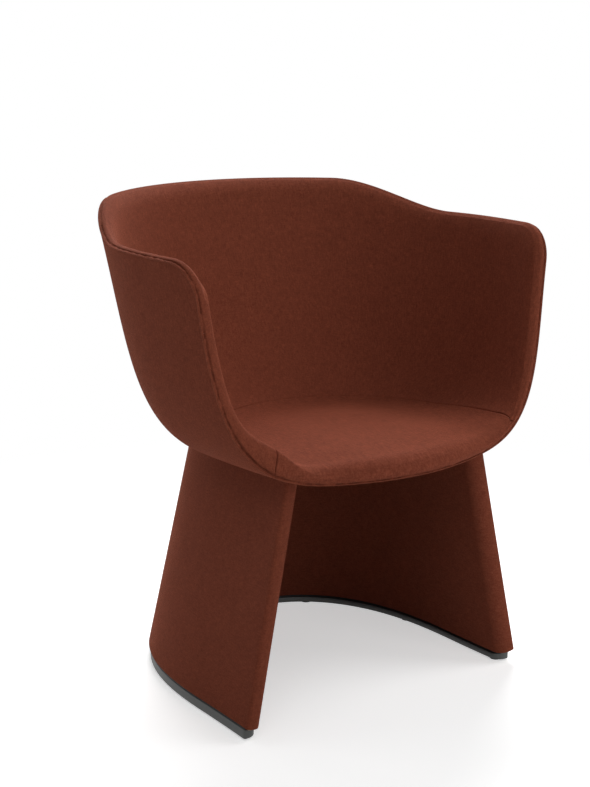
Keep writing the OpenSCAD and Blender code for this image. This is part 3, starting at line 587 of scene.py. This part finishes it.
# The woven outside cover. One piece of napped wool cloth is drawn over the whole outside of the
# bucket, turned over the outer corner of the rim and sewn there to the inside covers. Beside
# the seam the folded edge stands up as a thin ridge.
thread_pitch = 0.0011
pucker_pitch, pucker_depth, pucker_seed = 0.008, 0.006, 2.0
ridge_at, ridge_height, ridge_width, ridge_out, ridge_up = 2.4, 1.6, 0.7, 0.85, 0.5
groove_depth, outer_groove_width, inner_groove_width = 1.5, 0.4, 1.4
# Depth and width of the line on the outside ridge that is painted lighter: partly wear, partly a painted highlight.
wear_and_highlight_line = (-1.1, 0.6)


def wool_cloth(name, weft_slubs, warp_slubs):
    """Napped wool cloth: crossed threads with slubs, a melange of lighter and darker fibres, and a soft sheen.

    It is painted lighter along a line of worn nap, as wear and as a painted highlight, and painted darker
    along the rim's seam, as shade where the stitches tuck it in.
    """
    made = Finish(name, (0.2, 0.052, 0.028), 0.95, specular=0.08)
    weave = made.add("ShaderNodeUVMap", uv_map="weave").outputs[0]
    axes = made.add("ShaderNodeSeparateXYZ", {0: weave}).outputs
    threads = [made.maths("SINE", made.maths("MULTIPLY", axes[n], math.pi / thread_pitch)) for n in (0, 1)]
    lumps = made.maths("ABSOLUTE", made.maths("MULTIPLY", *threads))
    nap = made.noise(1300, 3, 0.7)
    fibre = made.noise(420, 5, 0.75)
    cloud = made.noise(28, 3, 0.6)
    tufts = made.noise(110, 2, 0.6)
    slubs = []
    for scale, strength in (((90, 450, 1), weft_slubs), ((450, 90, 1), warp_slubs)):
        run = made.add("ShaderNodeMapping", {"Vector": weave, "Location": (7.3, 2.1, 0), "Scale": scale})
        slubs.append(made.spread(made.noise(1, 2, place=run.outputs[0]), 1 - strength, 1 + strength))
    colour = made.mix(made.spread(fibre, -0.9, 1.9), (0.155, 0.0355, 0.0187), (0.25, 0.065, 0.0345))
    patches = made.maths("MULTIPLY", made.spread(cloud, 0.9, 1.1), made.spread(tufts, 0.88, 1.12))
    for value in (made.maths("MULTIPLY", *slubs), patches):
        colour = made.add("ShaderNodeHueSaturation", {"Color": colour, "Value": value}).outputs[0]
    # Worn nap and painted highlight: lighter along the marked line.
    colour = made.mix(made.spread(made.mark("rubbed"), 0, 0.8), colour, (0.4, 0.15, 0.095))
    # Painted shade: an uneven dark line along the rim's seam, where the stitches tuck the cloth in.
    pulls = made.noise(1 / pucker_pitch, 1.0, more={"W": pucker_seed}, noise_dimensions="4D")
    seam_crease_shade = made.maths("MULTIPLY", made.spread(pulls, 2.3, -1.3), made.mark("by_seam"), use_clamp=True)
    colour = made.mix(made.spread(seam_crease_shade, 0, 0.35), colour, (0.05, 0.012, 0.007))
    sheen = {"Sheen Weight": 0.3, "Sheen Roughness": 0.25, "Sheen Tint": (0.9, 0.26, 0.13, 1)}
    return made.done({"Base Color": colour, "Roughness": made.spread(nap, 0.84, 1.0), **sheen},
                     made.maths("MULTIPLY_ADD", lumps, 0.55, nap), 0.55, 0.0005)


class Geometry(Nodes):
    """A Geometry Nodes group with named inputs, which ends in Realize Instances and Set Material."""

    def __init__(self, name, **kinds):
        super().__init__(bpy.data.node_groups.new(name, "GeometryNodeTree"))
        for label, kind in kinds.items():
            self.tree.interface.new_socket(label, in_out="INPUT", socket_type="NodeSocket" + kind)
        self.tree.interface.new_socket("Result", in_out="OUTPUT", socket_type="NodeSocketGeometry")
        self.given = self.add("NodeGroupInput").outputs

    def mesh_of(self, piece, geometry, **values):
        """Ends the group with a geometry, sets its inputs on a piece and gives the mesh that it makes there."""
        real = self.add("GeometryNodeRealizeInstances", {0: geometry})
        dressed = self.add("GeometryNodeSetMaterial", {"Geometry": real.outputs[0], "Material": self.given["Finish"]})
        self.add("NodeGroupOutput", {0: dressed.outputs[0]})
        step = piece.modifiers.new(self.tree.name, "NODES")
        step.node_group = self.tree
        for item in self.tree.interface.items_tree:
            if item.in_out == "INPUT" and item.name in values:
                step[item.identifier] = values[item.name]
        return bpy.data.meshes.new_from_object(piece.evaluated_get(bpy.context.evaluated_depsgraph_get()))


def puckered(piece, finish):
    """Pulls the cloth in and out along its sewn rim, as the stitches do, by geometry nodes."""
    group = Geometry(piece.name + "_puckers", Cloth="Geometry", Depth="Float", Pitch="Float", Seed="Float",
                     Finish="Material")
    given = group.given
    by_seam = group.add("GeometryNodeInputNamedAttribute", {"Name": "by_seam"}, data_type="FLOAT").outputs["Attribute"]
    place = group.add("GeometryNodeInputPosition").outputs[0]
    pulls = group.noise(group.maths("DIVIDE", 1.0, given["Pitch"]), 1.0, place=place, more={"W": given["Seed"]},
                        noise_dimensions="4D")
    rise = group.maths("MULTIPLY", group.maths("SUBTRACT", pulls, 0.5), given["Depth"])
    outwards = group.add("GeometryNodeInputNormal").outputs[0]
    offset = group.add("ShaderNodeVectorMath", {0: outwards, "Scale": group.maths("MULTIPLY", rise, by_seam)},
                       operation="SCALE").outputs[0]
    moved = group.add("GeometryNodeSetPosition", {"Geometry": given["Cloth"], "Offset": offset}).outputs[0]
    flat = piece.data
    piece.data = group.mesh_of(piece, moved, Depth=pucker_depth, Pitch=pucker_pitch, Seed=pucker_seed, Finish=finish)
    piece.modifiers.clear()
    piece.data.name = piece.name
    bpy.data.meshes.remove(flat)


def bucket_cover(name, node, *shape):
    """A cover of the bucket, puckered along the rim's seam."""
    piece = layer_piece(name, *shape)
    puckered(piece, bucket_wool)
    return set_in(piece, bucket_wool, node)


bucket_wool = wool_cloth("rust_wool_bucket", 0.2, 0.34)
turn_over = np.array([0.002, 0.01, 0.03, 0.06, 0.11, 0.19, 0.3, 0.43, 0.6, 0.8, 1.0, 1.2, 1.42, 1.64, 1.84, 1.96])
ridge = ridge_height * bell(crown(turn_over) - ridge_at, ridge_width)
outside_profile = [(deep - ridge_out * out, high + ridge_up * out, 0) for (deep, high, _), out in zip(
    knots_at(turn_over, 0, -groove_depth * bell(turn_over - rim_seam, outer_groove_width)), ridge)]
seam_allowance = knots_at([rim_seam, rim_seam - 0.02], 0, np.array([-2.2, -2.6])) + [(1.62, 0.5, 0)]
# Its ridge carries a line painted lighter, partly wear and partly a painted highlight.
outside_cover = bucket_cover("outside_cover", "outer_cover", Layer(), (0, 0), (cover, 0),
                             outside_profile + seam_allowance, wear_and_highlight_line)

# The inside back and arm cover. It lines the back and both arms in one sheet, rolls over the
# padded rim and is sewn to the outside cover along the rim and to the seat cover at its foot.
inner_in = rim_thick - cover
seam_rows = (0.03, 0.09, 0.18, 0.3, 0.45, 0.65, 0.95, 1.4, 2.0, 2.8, 3.8)
seam_lean = 0.6
band = np.array([0.002, 0.007, 0.016, 0.028, 0.042, 0.06, 0.085, 0.12, 0.17, 0.24, 0.31, 0.4, 0.51, 0.62, 0.73, 0.82,
                 0.88, 0.93, 0.965, 0.985, 0.995])
band = rim_seam + band * (rim_thick - rim_seam)
inside_profile = knots_at([22.2, 20.5, 17, 12, 8.5, 6.5, 5, 4], cover)
inside_profile += knots_at([rim_seam + 0.08, rim_seam + 0.06], 0, np.array([-2.7, -2.3]))
inside_profile += knots_at(band, 0, -groove_depth * bell(band - rim_seam, inner_groove_width))


def lining(name, side, swelling, node):
    """A cover over a pad, on one side of the seam."""
    grid = Layer(side=side, seam_rows=seam_rows, swelling=swelling, lean=seam_lean)
    return bucket_cover(name, node, grid, (inner_in, 1), (rim_thick, 1), inside_profile)


back_lining = lining("back_lining", -1, back_swelling, "back_cover")

# The seat cover. A single sheet over the crowned seat foam, rolled down over the thick front
# edge. Its seam with the back cover lies in a shallow valley.
seat_lining = lining("seat_lining", 1, seat_swelling, "seat_cover")

# The base wall. Moulded plywood bent to a U in plan, leaning inwards as it rises, with its top cut
# to the underside of the bucket. The cover hides it, and the plinth closes it below.
# Pairs: at the foot of the cover, then at the reference height.
base_half, base_back, base_front = (266.5, 182), (357, 282), (130.5, 121)
base_splay, base_square, base_shift = 2, 2.45, 26
base_cover_bottom, base_reference, base_fleece, ply, wall_drop = 23, 420, 3, 19.8, 2
base_outer_radius, base_inner_radius, least_radius = 6, 21, 0.3
base_thick = 2 * (cover + layer_gap + base_fleece + layer_gap) + ply
base_lean = (base_half[0] - base_half[1]) / (base_reference - base_cover_bottom)


class WallPlan:
    """Stations round the wall: rows of (kind, hand, inner, value) on its curve (0), its sides (1) or its edges (2)."""

    def __init__(self, rows):
        self.kind, self.hand, self.inner, self.value = (np.array(c, float)[:, None] for c in zip(*rows))
        self.edge = np.where(self.inner == 1, base_inner_radius, base_outer_radius)
        self.count = len(self.kind)

    def depth(self, offset):
        """How deep a station lies in the wall, from its outside face."""
        corner = (np.where(self.inner == 1, base_thick - self.edge, self.edge)
                  - np.maximum(least_radius, self.edge - offset) * np.cos(self.value))
        return np.where(self.kind == 2, corner, np.where(self.inner == 1, base_thick - offset, offset))

    def at(self, height, offset):
        """Points at heights, moved into the wall by an offset."""
        rise = (height - base_cover_bottom) / (base_reference - base_cover_bottom)
        half, back, front = (low + (high - low) * rise for low, high in (base_half, base_back, base_front))
        x = np.sign(np.cos(self.value)) * np.abs(np.cos(self.value)) ** (2 / base_square)
        y = np.abs(np.sin(self.value)) ** (2 / base_square)
        facing = unit(np.stack([np.sign(x) * np.abs(x) ** (base_square - 1) / half, y ** (base_square - 1) / back], -1))
        depth = self.depth(offset)
        curve = np.stack([half * x - facing[..., 0] * depth, back * y - base_shift - facing[..., 1] * depth], -1)
        side = np.stack([self.hand * (half + base_splay * self.value ** 2 - depth),
                         -base_shift - (front - self.edge) * self.value], -1)
        tip = np.maximum(least_radius, self.edge - offset) * np.sin(self.value)
        corner = np.stack([self.hand * (half + base_splay - depth), -base_shift - front + self.edge - tip], -1)
        kind = self.kind[..., None]
        flat = np.where(kind == 0, curve, np.where(kind == 1, side, corner))
        return np.concatenate([flat, (height + 0 * depth)[..., None]], -1)

    def cut(self, bottom, offset):
        """The bottom edge is cut square to the leaning wall, so its inside ends lower."""
        return bottom - base_lean * self.depth(offset)

    def top(self, offset, drop):
        """Where the wall meets the outside face of the bucket."""
        low, high = np.full((self.count, 1), float(underside)), np.full((self.count, 1), (underside + arm_top) / 2)
        for _ in range(24):
            middle = (low + high) / 2
            x, y, _ = np.moveaxis(self.at(middle, offset), -1, 0)
            k = (back_top - middle) / (back_top - underside)
            wide = np.clip(1 - np.clip(k, 0, 1) ** section_square, 1e-9, None) ** (1 / section_square)
            half, reach, toe = bucket_size(k, y)
            half, reach = half * wide, reach * wide
            within = np.where(y <= 0, np.abs(x) < half * (1 - toe), (x / half) ** 2 + (y / reach) ** 2 < 1) & (k < 1)
            low, high = np.where(within, low, middle), np.where(within, middle, high)
        return low - drop


def all_round(side_steps, curve_steps, edge_steps):
    """The plan of stations round the outside of the wall, its right end, its inside and its left end."""
    sides, turns = 1 - np.arange(side_steps) / side_steps, np.pi * np.arange(curve_steps + 1) / curve_steps
    edge = UPRIGHT * np.arange(edge_steps, 0, -1) / edge_steps
    rows = [(2, -1, 0, v) for v in edge] + [(1, -1, 0, v) for v in sides] + [(0, 0, 0, v) for v in turns[::-1]]
    rows += [(1, 1, 0, v) for v in sides[::-1]] + [(2, 1, 0, v) for v in edge[::-1]]
    rows += [(2, 1, 1, math.pi - v) for v in edge] + [(1, 1, 1, v) for v in sides] + [(0, 0, 1, v) for v in turns]
    return WallPlan(rows + [(1, -1, 1, v) for v in sides[::-1]] + [(2, -1, 1, math.pi - v) for v in edge[::-1]])


def birch_plywood(name):
    """Raw moulded plywood: pale birch with fine upright grain, and dark glue lines on its cut edges."""
    made = Finish(name, (0.6, 0.42, 0.24), 0.6, specular=0.3)
    run = made.add("ShaderNodeMapping", {"Vector": made.place, "Scale": (60, 60, 3)})
    grain = made.noise(3, 6, 0.6, run.outputs[0])
    plies = made.add("ShaderNodeTexWave", {"Vector": made.place, "Scale": 115, "Distortion": 0.3},
                     wave_type="RINGS", rings_direction="Z")
    normal = made.add("ShaderNodeSeparateXYZ", {0: made.add("ShaderNodeNewGeometry").outputs["True Normal"]})
    cut = made.spread(made.maths("ABSOLUTE", normal.outputs[2]), 0, 1, 0.35, 0.7)
    face = made.mix(grain, (0.46, 0.29, 0.15), (0.68, 0.5, 0.31))
    layers = made.mix(plies.outputs[1], (0.3, 0.17, 0.08), (0.66, 0.48, 0.3))
    return made.done({"Base Color": made.mix(cut, face, layers)}, grain, 0.3, 0.0005)


dress("base_wall", birch_plywood("birch_plywood"))


# The fleece round the base wall. One strip of the same fleece as on the bucket, wrapped round
# both faces and both ends of the wall and glued.
def wall_sleeve(name, plan, offset, thick, bottom, drop, levels, rounding):
    """A closed sleeve round the wall, with rounded edges at its foot and its top."""
    arc = np.linspace(0, math.pi, 9)
    share, dip = (1 - np.cos(arc)) / 2, rounding * (1 - np.sin(arc))
    inside = offset + thick
    loops = [plan.at(plan.cut(bottom, offset + s * thick) + d, offset + s * thick)
             for s, d in zip(share[::-1], dip[::-1])]
    low, high = plan.cut(bottom, offset) + rounding, plan.top(offset, drop) - rounding
    loops += [plan.at(low + (high - low) * t, offset) for t in np.linspace(0, 1, levels)[1:-1]]
    loops += [plan.at(plan.top(offset + s * thick, drop) - d, offset + s * thick) for s, d in zip(share, dip)]
    low, high = plan.cut(bottom, inside) + rounding, plan.top(inside, drop) - rounding
    loops += [plan.at(low + (high - low) * t, inside) for t in np.linspace(1, 0, 6)[1:-1]]
    points = np.stack([loop[:, 0] for loop in loops], 1)
    round_it = run_along(plan.at((low + high) / 2, offset)[:, 0])
    weave = np.stack([np.broadcast_to(round_it[:, None], points.shape[:2]), points[..., 2]], -1)
    return sewn_mesh(name, points.reshape(-1, 3), tube_quads(*points.shape[:2]), weave.reshape(-1, 2))


base_wrap = wall_sleeve("base_wrap", all_round(6, 48, 6), cover + layer_gap, base_fleece,
                        base_cover_bottom + 3 * layer_gap, wall_drop, 12, 1.2)
set_in(base_wrap, white_fleece, "base_fleece_sleeve")

# The base cover. A sleeve of the same wool cloth, turned so that its slubs run level, pulled over
# the wall from the top and tucked under at its foot.
base_wool = wool_cloth("rust_wool_base", 0.26, 0.08)
base_sleeve = wall_sleeve("base_sleeve", all_round(16, 132, 12), 0, cover, base_cover_bottom, layer_gap, 60, 0.7)
set_in(base_sleeve, base_wool, "base_cover")


# The seat plate. Steel 5 mm thick, cut to the inside of the base, with welded tabs that are screwed
# to the wall, and powder coated in black.
def powder_coat(name):
    """Black powder coat: a fine orange-peel skin, duller where it lies thin."""
    made = Finish(name, (0.02, 0.02, 0.021), 0.45)
    peel, cloud = made.noise(700, 2), made.noise(18, 4)
    colour = made.mix(cloud, (0.016, 0.016, 0.017), (0.03, 0.03, 0.031))
    return made.done({"Base Color": colour, "Roughness": made.spread(cloud, 0.36, 0.56)}, peel, 0.3, 0.0003)


dress("seat_plate", powder_coat("black_powder_coat"))


# The shell bolts. Four M8 bolts with washers go up through the seat plate into threaded inserts
# that are moulded into the shell. All are zinc plated.
def zinc_steel(name):
    """Zinc-plated steel: a bluish metal with fine brushing and duller patches."""
    made = Finish(name, (0.56, 0.57, 0.6), 0.34, metallic=1.0)
    cloud = made.noise(220, 5)
    colour = made.mix(cloud, (0.46, 0.47, 0.5), (0.66, 0.67, 0.68))
    return made.done({"Base Color": colour, "Roughness": made.spread(cloud, 0.24, 0.46)})


def ring_mesh(name, rings, sharp):
    """A closed mesh through rings of points in millimetres, with its edges sharp beyond an angle in degrees."""
    count, around = len(rings), len(rings[0])
    quads = [[r * around + n, r * around + (n + 1) % around, (r + 1) * around + (n + 1) % around, (r + 1) * around + n]
             for r in range(count - 1) for n in range(around)]
    quads += [list(range(around - 1, -1, -1)), list(range((count - 1) * around, count * around))]
    mesh = bpy.data.meshes.new(name)
    mesh.from_pydata((np.array(rings) * MM).reshape(-1, 3).tolist(), [], quads)
    turned_outwards(mesh)
    mesh.set_sharp_from_angle(angle=math.radians(sharp))
    return bpy.data.objects.new(name, mesh)


def ring(turns, radius, z):
    return np.stack([radius * np.cos(turns), radius * np.sin(turns), np.full(len(turns), float(z))], -1)


def fixing_model(name, head, neck, length, shank, pitch, key, key_depth, tip):
    """A threaded fixing along +z with its head's face at z = 0: head and neck are (diameter, height)."""
    turns, lobes, thread_depth = np.arange(36) * 2 * math.pi / 36, 0.16, 0.13
    star = key * (1 + lobes * np.cos(6 * turns))
    rows = [(0.02 * star, key_depth), (0.93 * star, key_depth), (1.0 * star, 0.25), (1.08 * star, 0.0),
            (head[0] / 2 - 0.3, 0), (head[0] / 2, 0.3), (head[0] / 2, head[1]), (neck[0] / 2, neck[1])]
    for z in np.arange(neck[1] + 0.3, length - tip, pitch / 5):
        tooth = np.abs(((z / pitch - turns / (2 * math.pi)) % 1) - 0.5) * 2
        rows.append((shank / 2 - thread_depth * shank * tooth, z))
    rows += [(0.3 * shank, length - 0.35 * tip), (0.02, length)]
    return ring_mesh(name, [ring(turns, *row) for row in rows], 35)


def placed_fixings(name, model, places, aims, finish, seed, node):
    """Sets a model at each place, along its aim and turned at random, by geometry nodes."""
    group = Geometry(name + "_rows", Places="Geometry", Fixing="Object", Spin="Float", Seed="Int", Finish="Material")
    given = group.given
    fixing = group.add("GeometryNodeObjectInfo", {"Object": given["Fixing"]}).outputs["Geometry"]
    aim = group.add("GeometryNodeInputNamedAttribute", {"Name": "aim"}, data_type="FLOAT_VECTOR").outputs["Attribute"]
    along = group.add("FunctionNodeAlignRotationToVector", {"Vector": aim}, axis="Z").outputs[0]
    turn = group.add("FunctionNodeRandomValue", {2: 0.0, 3: given["Spin"], "Seed": given["Seed"]}, data_type="FLOAT")
    spun = group.add("FunctionNodeAxisAngleToRotation", {"Axis": (0, 0, 1), "Angle": turn.outputs[1]}).outputs[0]
    both = group.add("FunctionNodeRotateRotation", {0: along, 1: spun}, rotation_space="LOCAL").outputs[0]
    set_on = group.add("GeometryNodeInstanceOnPoints",
                       {"Points": given["Places"], "Instance": fixing, "Rotation": both}).outputs[0]
    spots = bpy.data.meshes.new(name + "_places")
    spots.from_pydata([tuple((Vector(p) - Vector((0, chair_middle, 0))) * MM) for p in places], [], [])
    spots.attributes.new("aim", "FLOAT_VECTOR", "POINT").data.foreach_set("vector", np.array(aims, np.float32).ravel())
    holder = in_scene(name + "_places", spots)
    bpy.context.scene.collection.objects.link(model)
    mesh = group.mesh_of(holder, set_on, Fixing=model, Spin=math.pi, Seed=seed, Finish=finish)
    mesh.name = name
    mesh.materials.clear()
    for done in (holder, model):
        bpy.data.objects.remove(done)
    return set_in(in_scene(name, mesh), finish, node)


zinc = zinc_steel("zinc_plated_steel")
dress("shell_inserts", zinc)
dress("bolt_washers", zinc)
plate, bolt_head, washer, upwards = 5, 5, 1.6, (0, 0, 1)
plate_top = underside - layer_gap
bolt_head_low = plate_top - plate - washer - bolt_head
bolt_spots = [(x, y, bolt_head_low) for x in (-80, 80) for y in (-50, 70)]
bolt = fixing_model("bolt", (13.6, bolt_head), (7.6, bolt_head + 0.1), 26, 8, 1.25, 3.1, 3.2, 1.4)
placed_fixings("threaded_bolts", bolt, bolt_spots, [upwards] * 4, zinc, 3, "shell_bolts")

# The wall screws. Two pan-head screws hold each of the five tabs of the seat plate to the plywood,
# driven outwards from inside the base.
tab_drop, tab_gap, tab, tab_length, screw_half_spread, screw_sunk = 8, 1.2, 4, 46, 11, 2.4
tab_height = plate_top - plate - tab_length / 2
tabs = [(1, 1, 1, 0.35), *((0, 0, 1, math.radians(turn)) for turn in (42, 90, 138)), (1, -1, 1, 0.35)]
screw_spots, screw_aims = [], []
for kind, hand, inner, value in tabs:
    beside_it = WallPlan([(kind, hand, inner, value + nudge) for nudge in (0, math.radians(1), -math.radians(1))])
    here, above = (beside_it.at(z, 0)[:, 0] for z in (tab_height, tab_height + 10))
    up = unit(above[0] - here[0])
    across = np.array([0, hand, 0.0]) if kind == 1 else unit(here[1] - here[2])
    out = unit(np.cross(across, up))
    beside = np.cross(up, out)
    for x in (-screw_half_spread, screw_half_spread):
        screw_spots.append(here[0] + beside * x - up * tab_drop - out * (tab_gap + tab + screw_sunk))
        screw_aims.append(out)
wall_screw = fixing_model("wall_screw", (9, 1.1), (4.3, 2.4), 24.4, 4.5, 1.8, 1.75, 1.4, 3)
placed_fixings("pan_head_screws", wall_screw, screw_spots, screw_aims, zinc, 5, "wall_screws")

# The plinth. A strip of dark grey polymer under the wall, set back a little from the cover. Its
# top follows the slanted cut of the wall, its edges are broken by a small radius, and a narrow
# groove runs along its top, painted black inside as shade, so that it reads as a black shadow
# line under the cover.
glide_height, plinth_height, plinth_inset, plinth_end_inset = 2.5, 18.5, 2.5, 12.5
plinth_top = glide_height + plinth_height
plinth_scale = (base_front[0] - plinth_end_inset) / (base_front[0] - plinth_inset)
plinth_plan = all_round(16, 132, 12)
plinth_reach = plinth_plan.depth(plinth_inset) + base_lean * (base_cover_bottom - plinth_top)
plinth_upper = plinth_top - layer_gap - base_lean * plinth_reach / (1 - base_lean ** 2)
groove_high, groove_deep, groove_rows = 2.5, 2.5, 3
# Each row of the outline: its inset, and its height over the glides or its drop under the top.
plinth_outline = [(2.2, 0, None), (0.9, 0, None), (0.27, 0.27, None), (0, 0.9, None), (0, None, groove_high + 0.3),
                  (0.3, None, groove_high), (groove_deep, None, groove_high), (groove_deep, None, 0)]
plinth_loops = []
for inset, height, drop in plinth_outline:
    loop = plinth_plan.at(base_cover_bottom, plinth_inset + inset)[:, 0]
    loop[:, 1] = np.where(loop[:, 1] < -base_shift, -base_shift + (loop[:, 1] + base_shift) * plinth_scale, loop[:, 1])
    loop[:, 2] = glide_height + height if drop is None else plinth_upper[:, 0] - drop
    plinth_loops.append(loop)
plinth_points = np.stack(plinth_loops, 1)
plinth_points = np.concatenate([plinth_points, plinth_points[:1]])
plinth_stations, plinth_rows = plinth_points.shape[:2]
plinth_quads = grid_quads(plinth_stations, plinth_rows)
for row in (0, plinth_rows - 1):
    plinth_quads += folded_shut(range(row, (plinth_stations - 1) * plinth_rows, plinth_rows))
# The groove's rows get a mark that paints them near black: painted shade.
in_groove = np.tile(np.arange(plinth_rows) >= plinth_rows - groove_rows, plinth_stations).astype(float)
plinth_points = plinth_points.reshape(-1, 3)
plinth_strip = sewn_mesh("plinth_strip", plinth_points, plinth_quads, plinth_points[:, [0, 2]],
                         {"in_groove": in_groove})
plinth_grey = grained_plastic("plinth_grey", (0.062, 0.066, 0.063), (0.085, 0.09, 0.087), 700, 0.0003, 0.5)
set_in(plinth_strip, plinth_grey, "plinth")


# The plinth screws. Six screws go up through the plinth into the plywood, with their heads sunk
# into pockets.
def stations_at(rows, height):
    """Places under the middle of the wall, at sides given as ("side", hand, share) or turns in degrees."""
    plan = WallPlan([(1, r[1], 0, r[2]) if isinstance(r, tuple) else (0, 0, 0, math.radians(r)) for r in rows])
    spots = plan.at(base_cover_bottom, base_thick / 2)[:, 0]
    spots[:, 2] = height
    return spots


plinth_spots = stations_at([("side", 1, 0.5), 34, 74, 106, 146, ("side", -1, 0.5)], glide_height + 1)
plinth_screw = fixing_model("plinth_screw", (8.6, 0.8), (4.3, 2.5), 40, 4.5, 1.8, 1.75, 1.4, 3)
placed_fixings("plinth_fixings", plinth_screw, plinth_spots, [upwards] * 6, zinc, 7, "plinth_screws")

# The glides. Seven round nylon glides are knocked into the plinth by their pins and carry the
# chair just off the floor.
glide_rows = [(0.01, 0), (9.0, 0), (9.6, 0.25), (10, 1), (10, 2.1), (9.7, 2.5), (2.2, 2.5), (2.0, 2.9), (2.0, 13.4),
              (1.2, 14.5), (0.01, 14.5)]
glide_turns = np.arange(40) * 2 * math.pi / 40
glide = ring_mesh("glide", [ring(glide_turns, *row) for row in glide_rows], 40)
glide_spots = stations_at([("side", 1, 0.8), 16, 58, 90, 122, 164, ("side", -1, 0.8)], 0)
black_nylon = grained_plastic("black_nylon", (0.012, 0.012, 0.012), (0.02, 0.02, 0.02), 1200, 0.0001, 0.4)
placed_fixings("nylon_glides", glide, glide_spots, [upwards] * 7, black_nylon, 9, "glides")


# The studio: a plain white floor and backdrop, soft lamps, and the camera at the photograph's
# angle. The background is white to the camera alone, so that it adds no light to the chair.
def before_eye(nodes, unseen, seen):
    """The shader that the camera and gloss see, in place of the one that lights the chair."""
    ray = nodes.add("ShaderNodeLightPath").outputs
    eye = nodes.maths("MAXIMUM", ray["Is Camera Ray"], ray["Is Glossy Ray"])
    return nodes.add("ShaderNodeMixShader", {0: eye, 1: unseen, 2: seen}).outputs[0]


white = (1, 1, 1, 1)
stage = Finish("stage_white", (0.9, 0.9, 0.9), 0.9, specular=0.1)
plain = stage.shader.outputs[0]
glow, far_white = (stage.add("ShaderNodeEmission", {"Color": white, "Strength": s}).outputs[0] for s in (0.5, 1.0))
lit = stage.add("ShaderNodeAddShader", {0: plain, 1: glow}).outputs[0]
from_chair = stage.add("ShaderNodeVectorMath", {0: stage.place}, operation="LENGTH").outputs["Value"]
away = stage.add("ShaderNodeMapRange", {0: from_chair, 1: 0.55, 2: 1.4}, interpolation_type="SMOOTHSTEP").outputs[0]
shown = stage.add("ShaderNodeMixShader", {0: away, 1: lit, 2: far_white}).outputs[0]
stage.feed(stage.tree.nodes["Material Output"], {0: before_eye(stage, plain, shown)})
bpy.ops.mesh.primitive_plane_add(size=40)
floor = bpy.context.object
floor.name = "floor"
floor.data.materials.append(stage.material)

world = bpy.data.worlds.new("studio_air")
bpy.context.scene.world = world
world.use_nodes = True
air = Nodes(world.node_tree)
dark, bright = (air.add("ShaderNodeBackground", {0: white, 1: strength}).outputs[0] for strength in (0.0, 1.0))
air.feed(air.tree.nodes["World Output"], {0: before_eye(air, dark, bright)})

lamp_aim, lamp_size = Vector((0, 0, 0.45)), 1.8
for name, place, power in (("behind", (1.2325, 1.7267, 2.5713), 90), ("right", (1.7267, -1.2325, 2.5713), 28.5),
                           ("left", (-1.7267, 1.2325, 2.5713), 9), ("front", (-1.2325, -1.7267, 2.5713), 13),
                           ("low_right", (0.473, -2.832, 1.32), 16), ("low_left", (-2.832, -0.473, 1.32), 4),
                           ("low_behind", (-0.473, 2.832, 1.32), 7.7)):
    data = bpy.data.lights.new("lamp_" + name, "AREA")
    data.shape, data.size, data.energy = "DISK", lamp_size, power
    lamp = in_scene("lamp_" + name, data)
    lamp.location = place
    lamp.rotation_euler = (lamp_aim - lamp.location).to_track_quat("-Z", "Y").to_euler()

azimuth, elevation = math.radians(-35.50986), math.radians(13.53611)
eye = bpy.data.cameras.new("camera")
camera = in_scene("camera", eye)
eye.lens, eye.sensor_width = 1602.924 / 787 * 36, 36
camera.location = (-1.4821, -2.0604, 1.0620)
level = math.cos(elevation)
from_aim = Vector((math.sin(azimuth) * level, -math.cos(azimuth) * level, math.sin(elevation)))
camera.rotation_euler = from_aim.to_track_quat("Z", "Y").to_euler()
bpy.context.scene.camera = camera
bpy.context.scene.view_settings.view_transform = "Standard"
